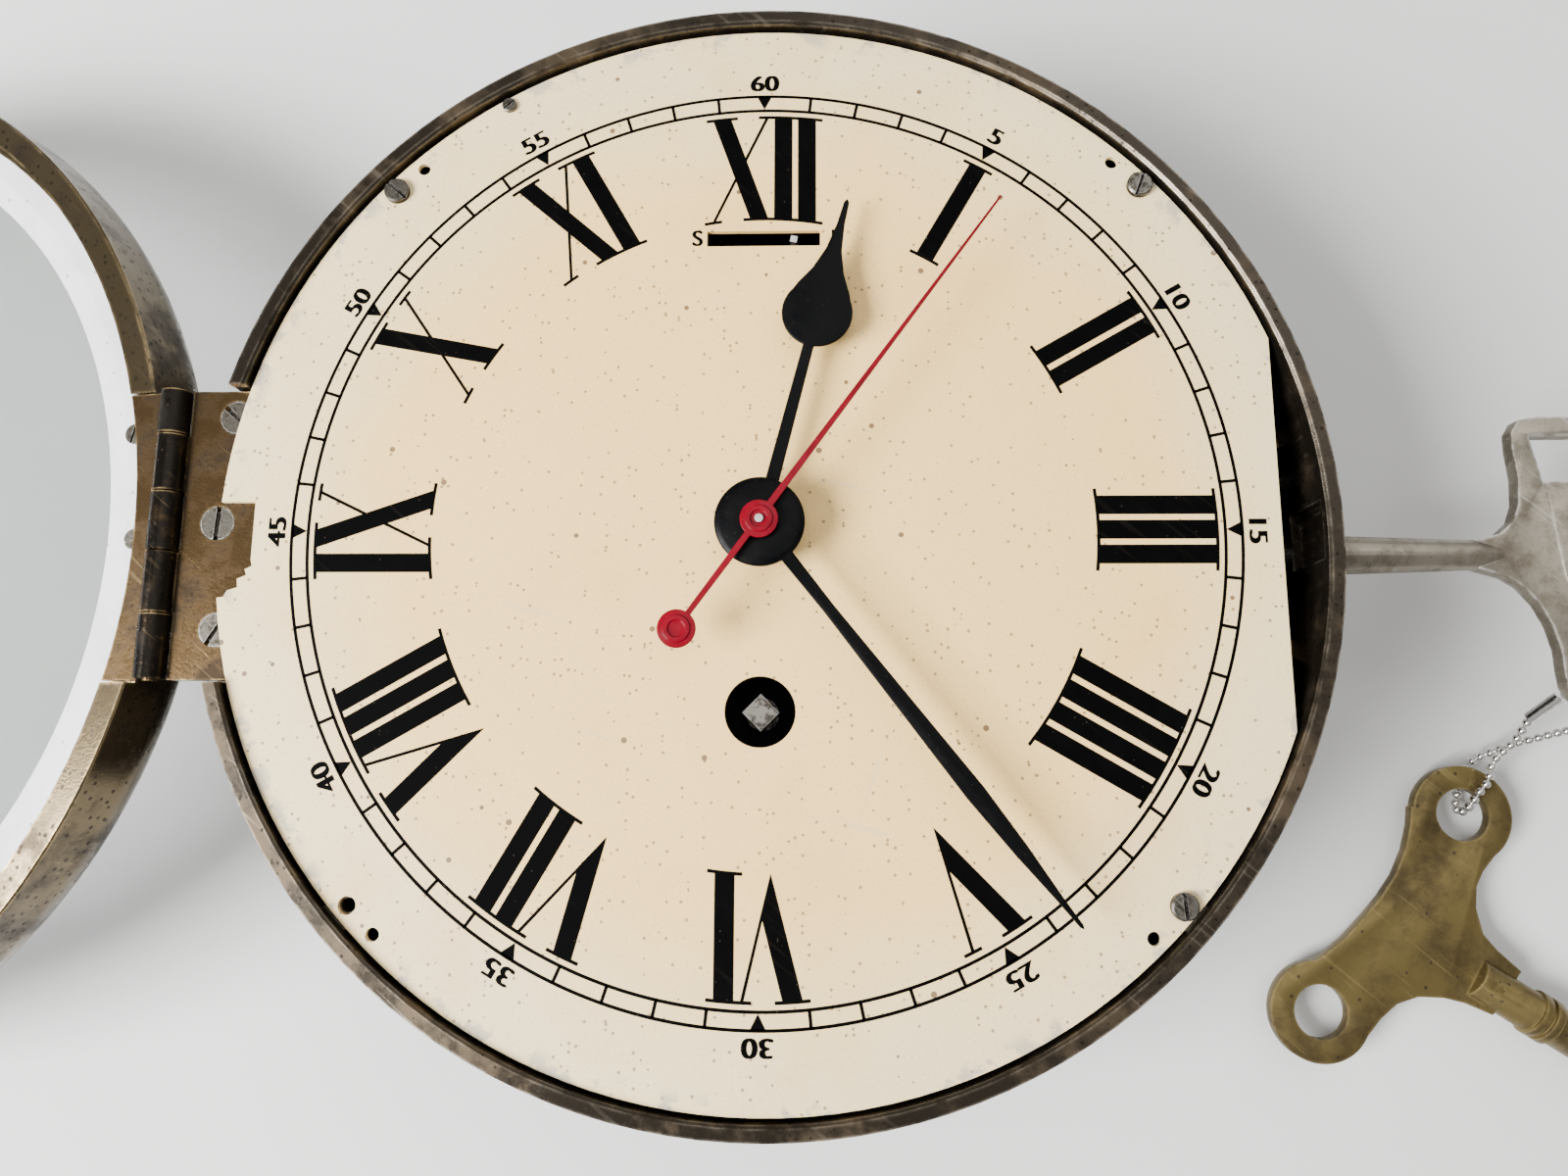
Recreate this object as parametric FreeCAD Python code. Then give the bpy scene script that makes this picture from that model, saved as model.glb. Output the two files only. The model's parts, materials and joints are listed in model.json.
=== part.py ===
import FreeCAD
import Part
import math
import os

# Ship's bulkhead clock, eight-day, lying on its back with the bezel hinged open.
# Millimetres. Z runs out through the dial, Y towards twelve, X towards three.
# The origin is the middle of the back face, on the axis of the hands.

# Case
CASE_R = 105.0
CASE_BORE_R = 102.3
RIM_Z = 62.0
FLOOR_T = 2.0
FLANGE_R = 118.0
FLANGE_T = 3.0
BULKHEAD_HOLE_R = 2.75
BULKHEAD_PCD = 222.0

# Dial
DIAL_R = 101.6
DIAL_Z = 60.0
DIAL_T = 1.0
DIAL_BOTTOM_Z = DIAL_Z - DIAL_T
DIAL_FLAT_X = 94.8
DIAL_SCREW_RING_R = 99.0
DIAL_SCREW_ANGLES = (43.1, 317.8, 136.6)
DIAL_EMPTY_SCREW_ANGLE = 222.9
DIAL_SPARE_HOLE_ANGLES = (47.2, 313.4, 132.6, 226.9)
DIAL_SMALL_SCREW_ANGLE = 120.4
WINDING_HOLE_R = 6.4
SLOT_Y = 57.6
SLOT_LENGTH = 21.8
SLOT_WIDTH = 3.1

# Hinge
HINGE_X = -112.5
HINGE_Z = 59.0
KNUCKLE_R = 2.8
HINGE_PIN_R = 1.2
HINGE_BORE_R = 1.25
KNUCKLE_SEAMS = (27.7, 18.9, 7.7, -3.7, -15.4, -27.7)
SEAM_GAP = 0.15
LEAF_T = 2.2
LEAF_TOP_Z = HINGE_Z - 0.2
LEAF_BOTTOM_Z = LEAF_TOP_Z - LEAF_T
CASE_LEAF_SCREWS = ((-100.6, 22.5), (-102.6, 1.8), (-101.1, -18.4))
CASE_LEAF_SLOT_ANGLES = (139.0, 87.0, 59.0)

# Bezel, described closed, then swung open about the hinge past level until it rests on the table
BEZEL_DROP = 10.1
BEZEL_R = 110.8
BEZEL_LAP_R = 105.6
BEZEL_REAR_Z = 59.0
BEZEL_FRONT_Z = 79.0
GLASS_R = 99.6
GLASS_Z0 = 72.0
GLASS_Z1 = 75.0
SIGHT_SCREW_R = 102.2
SIGHT_SCREW_ANGLES = (180.0, 168.0)
SIGHT_RING_Z = 63.4

# Movement
FRONT_PLATE_Z = (42.0, 44.0)
BACK_PLATE_Z = (18.0, 20.0)
PLATE_R = 54.0
PLATE_Y = -7.0
PILLAR_ANGLES = (30.0, 150.0, 235.0, 305.0)
PILLAR_RING_R = 49.0
DIAL_PILLARS = ((46.0, -18.0), (-46.0, -18.0), (32.0, 30.0), (-32.0, 30.0))
PIVOT_Z = 18.4
RATCHET_TEETH = 24
CLICK_FOOT = (-14.5, -40.5)

# Arbor positions
HANDS = (0.0, 0.0)
BARREL = (0.0, -33.3)
INTERMEDIATE_DISTANCE = 29.4
MINUTE_DISTANCE = 19.2
MINUTE_ANGLE = -10.0
INTERMEDIATE_TO_MINUTE = 21.0
THIRD_TO_MINUTE = 18.0
THIRD_DISTANCE = 17.0
ESCAPE_DISTANCE = 16.72
ESCAPE_ANGLE = 110.0
MOTION_DISTANCE = 18.5
MOTION_ANGLE = 200.0
BALANCE = (0.0, 33.0)
ESCAPE_TO_LEVER = 7.0
HAIRSPRING_GAP = 0.81
CURB_R = 5.1
REGULATOR_LEAN = -13.3

# Gearing in front of the front plate, whose modules follow from the distances between arbors
CANNON_TEETH = 64
FRONT_PINION_TEETH = 8
CANNON_MODULE = 2.0 * THIRD_DISTANCE / (CANNON_TEETH + FRONT_PINION_TEETH)
MINUTE_LEAVES = 14
MOTION_TEETH = 42
MOTION_MODULE = 2.0 * MOTION_DISTANCE / (MINUTE_LEAVES + MOTION_TEETH)
MOTION_LEAVES = 12
HOUR_TEETH = 48
HOUR_MODULE = 2.0 * MOTION_DISTANCE / (MOTION_LEAVES + HOUR_TEETH)

# Lock
LOCK_Z = 35.0
SPINDLE_R = 3.2
KEY_BOW_HALF = 1.6
KEY_BOW_OUTLINE = ((143.6, -3.0), (143.6, 2.8), (148.5, 4.2), (151.5, 6.8), (152.9, 10.5), (153.3, 16.0),
                   (152.8, 22.0), (152.9, 25.5), (154.5, 28.0), (158.0, 28.7), (177.5, 28.7), (180.6, 27.2),
                   (182.0, 24.0), (182.0, -25.6), (180.6, -29.2), (177.5, -30.6), (163.0, -30.6),
                   (160.2, -29.6), (158.6, -27.0), (158.3, -24.0), (158.2, -19.5), (157.0, -14.5),
                   (155.0, -10.2), (152.0, -6.6), (149.0, -4.6))

# Winding key and the bead chain that ties it to the lock key
KEY_UPPER = (152.7, -52.8)
KEY_LOWER = (118.7, -94.5)
KEY_LOBE_R = 10.65
KEY_AXIS_Z = 5.7
KEY_PLATE_HALF = 1.3
KEY_HOLE_R = 5.7
KEY_SQUARE = 5.0
KEY_SHANK_START = (152.2, -87.0)
KEY_SHANK_ANGLE = -32.0
# Start along the shank, length and radius of each turned step
KEY_TURNINGS = ((0.0, 13.4, 4.4), (13.4, 1.6, 5.0), (15.0, 1.0, 4.3), (16.0, 1.8, 5.0), (17.8, 26.2, 4.3))
KEY_PIN_DISTANCE = 3.6
KEY_PIN_R = 0.9
KEY_LEFT_SIDE = ((141.8, -51.0), (141.2, -55.0), (139.6, -60.4), (136.9, -65.8), (133.5, -70.4),
                 (130.0, -74.2), (125.0, -79.2), (120.4, -82.7), (115.0, -85.8), (111.2, -88.1))
KEY_LOWER_SIDE = ((123.5, -103.5), (127.3, -100.4), (131.2, -95.8), (135.0, -92.7), (139.6, -91.2),
                  (145.0, -91.4), (149.6, -92.5), (152.7, -93.8), (155.0, -94.8))
KEY_RIGHT_SIDE = ((161.9, -85.8), (157.3, -81.5), (154.6, -78.1), (153.6, -72.7), (154.2, -68.1),
                  (155.8, -65.0), (158.8, -61.5), (161.5, -57.3))
BEAD_R = 0.95
BEAD_PITCH = 2.1
COUPLING_START = 8
COUPLING_BEADS = 4
COUPLING_R = 1.3
COUPLING_OVERHANG = 0.85
CHAIN_ROUTE = ((158.0, -44.3, 9.2), (159.6, -40.0, 10.5), (161.3, -37.4, 13.0), (162.8, -32.5, 17.0),
               (165.5, -28.1, 23.0), (167.6, -26.0, 29.0), (169.6, -25.2, 35.0), (170.6, -26.2, 37.4),
               (171.2, -29.0, 38.8), (171.6, -31.8, 37.4), (171.6, -33.4, 32.0), (170.6, -34.4, 24.0),
               (169.0, -34.9, 18.5), (166.6, -36.2, 13.0), (164.0, -37.4, 8.8), (160.9, -39.3, 5.0),
               (158.3, -41.1, 2.8), (156.6, -43.6, 2.1), (155.2, -46.8, 2.1), (154.2, -49.6, 2.4),
               (153.3, -51.6, 3.8), (153.2, -52.1, 5.8), (153.9, -50.6, 8.2), (156.0, -47.3, 9.1))

# Tooth shapes: addendum, dedendum, then share of the pitch filled at root, pitch line and tip
WHEEL_TOOTH = (0.85, 1.15, 0.50, 0.42, 0.16)
PINION_TOOTH = (0.55, 1.15, 0.28, 0.37, 0.20)


def vec(x, y, z):
    return FreeCAD.Vector(x, y, z)


def polar(center, radius, degrees):
    angle = math.radians(degrees)
    return (center[0] + radius * math.cos(angle), center[1] + radius * math.sin(angle))


def direction(start, end):
    return math.degrees(math.atan2(end[1] - start[1], end[0] - start[0]))


def meeting_point(first, first_radius, second, second_radius, side):
    dx = second[0] - first[0]
    dy = second[1] - first[1]
    span = math.hypot(dx, dy)
    along = (first_radius ** 2 - second_radius ** 2 + span ** 2) / (2.0 * span)
    across = math.sqrt(first_radius ** 2 - along ** 2) * side
    x = first[0] + (dx * along - dy * across) / span
    y = first[1] + (dy * along + dx * across) / span
    return (x, y)


MINUTE = polar(HANDS, MINUTE_DISTANCE, MINUTE_ANGLE)
INTERMEDIATE = meeting_point(BARREL, INTERMEDIATE_DISTANCE, MINUTE, INTERMEDIATE_TO_MINUTE, -1)
THIRD = meeting_point(HANDS, THIRD_DISTANCE, MINUTE, THIRD_TO_MINUTE, 1)
ESCAPE = polar(HANDS, ESCAPE_DISTANCE, ESCAPE_ANGLE)
MOTION = polar(HANDS, MOTION_DISTANCE, MOTION_ANGLE)
LEVER = polar(ESCAPE, ESCAPE_TO_LEVER, direction(ESCAPE, BALANCE))


def box(x0, x1, y0, y1, z0, z1):
    return Part.makeBox(x1 - x0, y1 - y0, z1 - z0, vec(x0, y0, z0))


def disc(center, radius, z0, z1):
    return Part.makeCylinder(radius, z1 - z0, vec(center[0], center[1], z0))


def tube(center, outer, inner, z0, z1):
    return disc(center, outer, z0, z1).cut(disc(center, inner, z0 - 1.0, z1 + 1.0))


def cone(center, r0, r1, z0, z1):
    return Part.makeCone(r0, r1, z1 - z0, vec(center[0], center[1], z0))


def rod_x(radius, x0, x1, y, z):
    return Part.makeCylinder(radius, x1 - x0, vec(x0, y, z), vec(1, 0, 0))


def rod_y(radius, y0, y1, x, z):
    return Part.makeCylinder(radius, y1 - y0, vec(x, y0, z), vec(0, 1, 0))


def prism(points, z0, z1):
    corners = [vec(x, y, z0) for x, y in points]
    corners.append(corners[0])
    face = Part.Face(Part.makePolygon(corners))
    return face.extrude(vec(0, 0, z1 - z0))


def turned(points):
    corners = [vec(radius, 0, z) for radius, z in points]
    corners.append(corners[0])
    face = Part.Face(Part.makePolygon(corners))
    return face.revolve(vec(0, 0, 0), vec(0, 0, 1), 360)


def spun(shape, center, degrees):
    copy = shape.copy()
    copy.rotate(vec(center[0], center[1], 0), vec(0, 0, 1), degrees)
    return copy


def swung_open(shape):
    copy = shape.copy()
    copy.rotate(vec(HINGE_X, 0, HINGE_Z), vec(0, 1, 0), 180)
    return copy


def rested(shape):
    copy = shape.copy()
    copy.rotate(vec(HINGE_X, 0, HINGE_Z), vec(0, 1, 0), -BEZEL_DROP)
    return copy


def united(shapes):
    result = shapes[0]
    for shape in shapes[1:]:
        result = result.fuse(shape)
    return result.removeSplitter()


def without(shape, cutters):
    result = shape
    for cutter in cutters:
        result = result.cut(cutter)
    return result


def slotted_screw(center, head_r, head_t, shank_r, shank_length, seat_z, slot_angle):
    head = disc(center, head_r, seat_z, seat_z + head_t)
    shank = disc(center, shank_r, seat_z - shank_length, seat_z)
    screw = head.fuse(shank)
    edges = []
    for edge in screw.Edges:
        middle = edge.BoundBox.Center
        flat = edge.BoundBox.ZLength < 0.001
        if flat and abs(middle.z - seat_z - head_t) < 0.001:
            edges.append(edge)
    screw = screw.makeChamfer(head_t * 0.2, edges)
    slot_half = head_r * 0.13
    slot = box(center[0] - 2 * head_r, center[0] + 2 * head_r, center[1] - slot_half,
               center[1] + slot_half, seat_z + head_t * 0.5, seat_z + head_t + 1.0)
    return screw.cut(spun(slot, center, slot_angle))


def toothed(center, teeth, module, tooth, phase, z0, z1):
    addendum, dedendum, root_share, pitch_share, tip_share = tooth
    pitch_r = teeth * module / 2.0
    root_r = pitch_r - dedendum * module
    tip_r = pitch_r + addendum * module
    half_step = 180.0 / teeth
    points = []
    for index in range(teeth):
        middle = phase + 2.0 * half_step * index
        points.append(polar(center, root_r, middle - half_step * root_share))
        points.append(polar(center, pitch_r, middle - half_step * pitch_share))
        points.append(polar(center, tip_r, middle - half_step * tip_share))
        points.append(polar(center, tip_r, middle + half_step * tip_share))
        points.append(polar(center, pitch_r, middle + half_step * pitch_share))
        points.append(polar(center, root_r, middle + half_step * root_share))
    return prism(points, z0, z1)


def crossed_out(wheel, center, hub_r, rim_r, spokes, spoke_width, z0, z1):
    window = tube(center, rim_r, hub_r, z0 - 0.5, z1 + 0.5)
    arms = []
    for index in range(spokes):
        arm = box(center[0], center[0] + rim_r + 1.0, center[1] - spoke_width / 2.0,
                  center[1] + spoke_width / 2.0, z0 - 1.0, z1 + 1.0)
        arms.append(spun(arm, center, 360.0 * index / spokes + 20.0))
    return wheel.cut(without(window, arms))


def wheel_phase(center, partner):
    return direction(center, partner)


def gap_phase(center, partner, teeth):
    return direction(center, partner) + 180.0 / teeth


def case_body():
    body = disc(HANDS, FLANGE_R, 0, FLANGE_T).fuse(disc(HANDS, CASE_R, 0, RIM_Z))
    body = body.cut(disc(HANDS, CASE_BORE_R, FLOOR_T, RIM_Z + 1))
    boss_angles = list(DIAL_SCREW_ANGLES) + [DIAL_EMPTY_SCREW_ANGLE, DIAL_SMALL_SCREW_ANGLE]
    inside = disc(HANDS, CASE_BORE_R + 0.5, FLOOR_T, RIM_Z)
    for angle in boss_angles:
        center = polar(HANDS, 98.6, angle)
        boss = disc(center, 4.5, 48.0, DIAL_BOTTOM_Z).common(inside)
        body = body.fuse(boss)
    hinge_seat = box(-104.0, -86.0, -28.5, 28.5, 46.0, LEAF_BOTTOM_Z).common(inside)
    body = body.fuse(hinge_seat)
    cutters = [box(-107.0, -97.0, -28.2, 28.2, LEAF_BOTTOM_Z, RIM_Z + 1)]
    cutters.append(box(100.0, CASE_BORE_R + 1.9, -5.4, 5.4, 46.7, DIAL_Z - 0.2))
    cutters.append(rod_x(SPINDLE_R + 0.06, 99.0, 108.0, 0, LOCK_Z))
    for index in range(3):
        center = polar(HANDS, BULKHEAD_PCD / 2.0, 90.0 + 120.0 * index)
        cutters.append(disc(center, BULKHEAD_HOLE_R, -1.0, FLANGE_T + 1.0))
    for angle in DIAL_SCREW_ANGLES:
        cutters.append(disc(polar(HANDS, DIAL_SCREW_RING_R, angle), 1.3, 52.0, DIAL_Z))
    cutters.append(disc(polar(HANDS, DIAL_SCREW_RING_R, DIAL_EMPTY_SCREW_ANGLE), 1.3, 52.0, DIAL_Z))
    cutters.append(disc(polar(HANDS, 100.0, DIAL_SMALL_SCREW_ANGLE), 0.7, 55.0, DIAL_Z))
    for center in CASE_LEAF_SCREWS:
        cutters.append(disc(center, 1.5, 50.0, LEAF_TOP_Z))
    body = without(body, cutters)
    lip = turned([(CASE_BORE_R - 0.5, RIM_Z - 0.5), (CASE_BORE_R, RIM_Z - 0.5),
                  (CASE_BORE_R + 0.6, RIM_Z + 0.1), (CASE_BORE_R - 0.5, RIM_Z + 0.1)])
    return body.cut(lip).removeSplitter()


def dial_plate():
    plate = disc(HANDS, DIAL_R, DIAL_BOTTOM_Z, DIAL_Z)
    low = DIAL_BOTTOM_Z - 1.0
    high = DIAL_Z + 1.0
    torn = [(-104.0, -5.4), (-95.0, -5.4), (-94.7, -6.6), (-96.0, -7.2), (-95.6, -8.3),
            (-97.3, -9.0), (-97.1, -10.6), (-99.0, -11.2), (-99.6, -12.4), (-104.0, -13.0)]
    cutters = [box(DIAL_FLAT_X, 110.0, -50.0, 50.0, low, high)]
    cutters.append(box(-104.0, -95.0, -5.5, 5.6, low, high))
    cutters.append(prism(torn, low, high))
    cutters.append(disc(HANDS, 4.2, low, high))
    cutters.append(disc(BARREL, WINDING_HOLE_R, low, high))
    cutters.append(box(-SLOT_LENGTH / 2.0, SLOT_LENGTH / 2.0, SLOT_Y - SLOT_WIDTH / 2.0,
                       SLOT_Y + SLOT_WIDTH / 2.0, low, high))
    for angle in DIAL_SCREW_ANGLES:
        cutters.append(disc(polar(HANDS, DIAL_SCREW_RING_R, angle), 1.6, low, high))
    empty = polar(HANDS, DIAL_SCREW_RING_R, DIAL_EMPTY_SCREW_ANGLE)
    cutters.append(disc(empty, 1.6, low, high))
    cutters.append(disc(polar(HANDS, 100.0, DIAL_SMALL_SCREW_ANGLE), 0.8, low, high))
    for angle in DIAL_SPARE_HOLE_ANGLES:
        cutters.append(disc(polar(HANDS, DIAL_SCREW_RING_R, angle), 1.2, low, high))
    return without(plate, cutters)


def dial_screws():
    screws = []
    slot_angles = (70.0, 95.0, 140.0)
    for angle, slot in zip(DIAL_SCREW_ANGLES, slot_angles):
        center = polar(HANDS, DIAL_SCREW_RING_R, angle)
        screws.append(slotted_screw(center, 2.4, 1.3, 1.2, 7.0, DIAL_Z, slot))
    return Part.makeCompound(screws)


def dial_small_screw():
    center = polar(HANDS, 100.0, DIAL_SMALL_SCREW_ANGLE)
    return slotted_screw(center, 1.4, 0.8, 0.6, 4.0, DIAL_Z, 40.0)


def knuckles(indexes, bore_r):
    pieces = []
    for index in indexes:
        top = KNUCKLE_SEAMS[index] - SEAM_GAP
        bottom = KNUCKLE_SEAMS[index + 1] + SEAM_GAP
        pieces.append((rod_y(KNUCKLE_R, bottom, top, HINGE_X, HINGE_Z), bottom, top))
    bore = rod_y(bore_r, -30.0, 30.0, HINGE_X, HINGE_Z)
    return pieces, bore


def hinge_case_leaf():
    pieces, bore = knuckles((1, 3), HINGE_PIN_R)
    edge_x = HINGE_X + KNUCKLE_R + 0.3
    plate = box(edge_x, -88.0, -27.7, 27.7, LEAF_BOTTOM_Z, LEAF_TOP_Z)
    parts = [plate]
    for knuckle, bottom, top in pieces:
        parts.append(knuckle)
        parts.append(box(HINGE_X, edge_x, bottom, top, LEAF_BOTTOM_Z, LEAF_TOP_Z))
    leaf = united(parts)
    cutters = [bore]
    for center in CASE_LEAF_SCREWS:
        cutters.append(disc(center, 1.7, LEAF_BOTTOM_Z - 1, LEAF_TOP_Z + 1))
        cutters.append(cone(center, 1.7, 3.4, LEAF_TOP_Z - 1.6, LEAF_TOP_Z + 0.1))
    return without(leaf, cutters)


def hinge_case_screws():
    screws = []
    for center, angle in zip(CASE_LEAF_SCREWS, CASE_LEAF_SLOT_ANGLES):
        head = cone(center, 1.5, 3.2, LEAF_TOP_Z - 1.5, LEAF_TOP_Z)
        shank = disc(center, 1.4, LEAF_TOP_Z - 8.0, LEAF_TOP_Z - 1.5)
        slot = box(center[0] - 4.0, center[0] + 4.0, center[1] - 0.45, center[1] + 0.45,
                   LEAF_TOP_Z - 0.7, LEAF_TOP_Z + 1.0)
        screws.append(head.fuse(shank).cut(spun(slot, center, angle)))
    return Part.makeCompound(screws)


def hinge_pin():
    return rod_y(HINGE_PIN_R, -27.9, 27.9, HINGE_X, HINGE_Z)


def hinge_bezel_leaf():
    pieces, bore = knuckles((0, 2, 4), HINGE_BORE_R)
    edge_x = HINGE_X - KNUCKLE_R - 0.3
    plate = box(-123.5, edge_x, -27.7, 27.7, LEAF_BOTTOM_Z, LEAF_TOP_Z)
    parts = [plate]
    for knuckle, bottom, top in pieces:
        parts.append(knuckle)
        parts.append(box(edge_x, HINGE_X, bottom, top, LEAF_BOTTOM_Z, LEAF_TOP_Z))
    leaf = united(parts)
    ring_seat = disc((2 * HINGE_X, 0), BEZEL_LAP_R, 40.0, 70.0)
    return rested(without(leaf, [bore, ring_seat]))


def sight_ring_screws():
    screws = []
    slot_angles = (20.0, 75.0)
    for place, angle in zip(SIGHT_SCREW_ANGLES, slot_angles):
        center = polar(HANDS, SIGHT_SCREW_R, place)
        screw = slotted_screw(center, 2.0, 0.8, 0.8, 5.6, 0.0, angle)
        screw.rotate(vec(center[0], center[1], 0), vec(1, 0, 0), 180)
        screw.translate(vec(0, 0, SIGHT_RING_Z))
        screws.append(screw)
    return rested(swung_open(Part.makeCompound(screws)))


def bezel_ring():
    start = vec(BEZEL_R, 0, 67.0)
    middle = vec(108.2, 0, 75.3)
    end = vec(100.6, 0, BEZEL_FRONT_Z)
    straight = [(100.6, 79.0), (97.2, 79.0), (96.5, 78.2), (96.5, 75.0), (100.0, 75.0),
                (100.0, 71.0), (101.2, 69.8), (101.2, 67.0), (104.3, 67.0), (104.3, 62.6),
                (BEZEL_LAP_R, 62.6), (BEZEL_LAP_R, BEZEL_REAR_Z), (110.5, BEZEL_REAR_Z), (BEZEL_R, 59.3), (BEZEL_R, 67.0)]
    corners = [vec(radius, 0, z) for radius, z in straight]
    arc = Part.Arc(start, middle, end).toShape()
    outline = Part.Wire(Part.__sortEdges__([arc] + Part.makePolygon(corners).Edges))
    ring = Part.Face(outline).revolve(vec(0, 0, 0), vec(0, 0, 1), 360)
    leaf_room = box(-112.0, -101.0, -28.0, 28.0, 58.0, HINGE_Z + (HINGE_Z - LEAF_BOTTOM_Z))
    barrel_room = box(-112.0, -107.9, -28.0, 28.0, 58.0, HINGE_Z + 3.2)
    cutters = [leaf_room, barrel_room]
    for place in SIGHT_SCREW_ANGLES:
        cutters.append(disc(polar(HANDS, SIGHT_SCREW_R, place), 0.8, 66.0, 69.3))
    return rested(swung_open(without(ring, cutters)))


def bezel_glass():
    return rested(swung_open(disc(HANDS, GLASS_R, GLASS_Z0, GLASS_Z1)))


def sight_ring():
    ring = turned([(104.2, 67.0), (104.2, SIGHT_RING_Z), (100.0, SIGHT_RING_Z), (95.2, 64.2), (95.2, GLASS_Z0),
                   (96.2, GLASS_Z0), (96.2, 65.2), (100.4, 64.5), (103.2, 64.5), (103.2, 67.0)])
    cutters = [box(96.9, 106.0, -5.2, 5.2, 62.0, 68.0)]
    for place in SIGHT_SCREW_ANGLES:
        cutters.append(disc(polar(HANDS, SIGHT_SCREW_R, place), 0.9, 62.0, 66.0))
    return rested(swung_open(without(ring, cutters)))


def latch_tongue():
    inside = disc(HANDS, 104.3, 40.0, 70.0)
    foot = box(97.2, 105.0, -5.0, 5.0, 62.8, 65.2).common(inside)
    stem = box(97.2, 99.7, -4.5, 4.5, 44.8, 65.2)
    notch = box(96.0, 101.0, -1.5, 6.0, 46.9, 51.6)
    return rested(swung_open(united([foot, stem]).cut(notch)))


def lock_bracket():
    plate = box(93.2, 95.6, -22.0, 22.0, 22.0, 48.0)
    upper = box(95.0, 102.0, 19.0, 22.0, 22.0, 48.0)
    lower = box(95.0, 102.0, -22.0, -19.0, 22.0, 48.0)
    inside = disc(HANDS, CASE_BORE_R, 10.0, 50.0)
    bracket = united([plate, upper, lower]).common(inside)
    return bracket.cut(rod_x(2.06, 90.0, 97.0, 0, LOCK_Z))


def lock_spindle():
    body = united([rod_x(2.0, 91.5, 97.0, 0, LOCK_Z), rod_x(SPINDLE_R, 96.9, 105.6, 0, LOCK_Z)])
    square = box(105.0, 113.0, -2.2, 2.2, LOCK_Z - 2.2, LOCK_Z + 2.2)
    return united([body, square])


def lock_cam():
    center = (0.0, 0.0)
    finger = tube(center, 15.8, 13.2, 97.4, 99.5)
    wedge = prism([(0, 0), polar(center, 30, 4), polar(center, 30, -30), polar(center, 30, -56)],
                  97.0, 100.0)
    arm_points = [polar(center, 3.0, 20), polar(center, 14.5, -38), polar(center, 14.5, -54),
                  polar(center, 3.0, -110)]
    arm = prism(arm_points, 97.4, 99.5)
    hub = disc(center, 5.2, 97.4, 99.5)
    cam = united([finger.common(wedge), arm, hub]).cut(disc(center, SPINDLE_R, 96.0, 101.0))
    cam.rotate(vec(0, 0, 0), vec(0, 1, 0), 90)
    cam.rotate(vec(0, 0, 0), vec(1, 0, 0), 90)
    cam.translate(vec(0, 0, LOCK_Z))
    return cam


def lock_key():
    shank = Part.makeCone(4.3, 3.1, 37.5, vec(106.0, 0, LOCK_Z), vec(1, 0, 0))
    neck = Part.makeCone(3.1, 1.6, 6.0, vec(143.5, 0, LOCK_Z), vec(1, 0, 0))
    z0 = LOCK_Z - KEY_BOW_HALF
    z1 = LOCK_Z + KEY_BOW_HALF
    bow = prism(KEY_BOW_OUTLINE, z0, z1)
    upper_window = prism(((156.3, 24.7), (158.2, 15.0), (176.5, 15.0), (176.5, 24.7)), z0 - 1, z1 + 1)
    lower_window = prism(((163.4, -12.0), (162.4, -24.0), (164.0, -27.4), (176.5, -27.4), (176.5, -12.0)),
                         z0 - 1, z1 + 1)
    web = prism(((158.4, 14.8), (160.6, -5.0), (163.0, -11.8), (176.5, -11.8), (176.5, 14.8)),
                z0 - 0.3, z1 + 0.3)
    square_hole = box(105.0, 114.0, -2.3, 2.3, LOCK_Z - 2.3, LOCK_Z + 2.3)
    return without(united([shank, neck, bow, web]), [upper_window, lower_window, square_hole])


def movement_plate(z_pair, holes):
    plate = disc((0.0, PLATE_Y), PLATE_R, z_pair[0], z_pair[1])
    cutters = []
    for center, radius in holes:
        cutters.append(disc(center, radius, z_pair[0] - 1, z_pair[1] + 1))
    return without(plate, cutters)


def pillar_centers():
    return [polar((0.0, PLATE_Y), PILLAR_RING_R, angle) for angle in PILLAR_ANGLES]


def movement_front_plate():
    holes = [(HANDS, 0.8), (BARREL, 3.06), (INTERMEDIATE, 0.86), (MINUTE, 1.06), (THIRD, 0.66),
             (ESCAPE, 0.76), (LEVER, 0.5), (BALANCE, 0.56), (MOTION, 0.9)]
    for center in pillar_centers():
        holes.append((center, 1.3))
    for center in DIAL_PILLARS:
        holes.append((center, 1.3))
    return movement_plate(FRONT_PLATE_Z, holes)


def movement_back_plate():
    holes = [(HANDS, 0.8), (BARREL, 3.06), (INTERMEDIATE, 0.86), (MINUTE, 1.06), (THIRD, 0.66),
             (ESCAPE, 0.76)]
    for center in pillar_centers():
        holes.append((center, 1.3))
    return movement_plate(BACK_PLATE_Z, holes)


def movement_pillars():
    pillars = []
    for center in pillar_centers():
        post = disc(center, 3.0, BACK_PLATE_Z[1], FRONT_PLATE_Z[0])
        lower = disc(center, 1.1, BACK_PLATE_Z[1] - 1.0, BACK_PLATE_Z[1] + 8.0)
        upper = disc(center, 1.1, FRONT_PLATE_Z[0] - 8.0, FRONT_PLATE_Z[0] + 1.0)
        pillars.append(without(post, [lower, upper]))
    return Part.makeCompound(pillars)


def plate_screws():
    screws = []
    for number, center in enumerate(pillar_centers()):
        slot = 25.0 + 40.0 * number
        screws.append(slotted_screw(center, 2.6, 1.2, 1.1, 7.0, FRONT_PLATE_Z[1], slot))
        lower = slotted_screw(center, 2.6, 1.2, 1.1, 7.0, 0.0, slot)
        lower.rotate(vec(center[0], center[1], 0), vec(1, 0, 0), 180)
        lower.translate(vec(0, 0, BACK_PLATE_Z[0]))
        screws.append(lower)
    return Part.makeCompound(screws)


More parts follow.
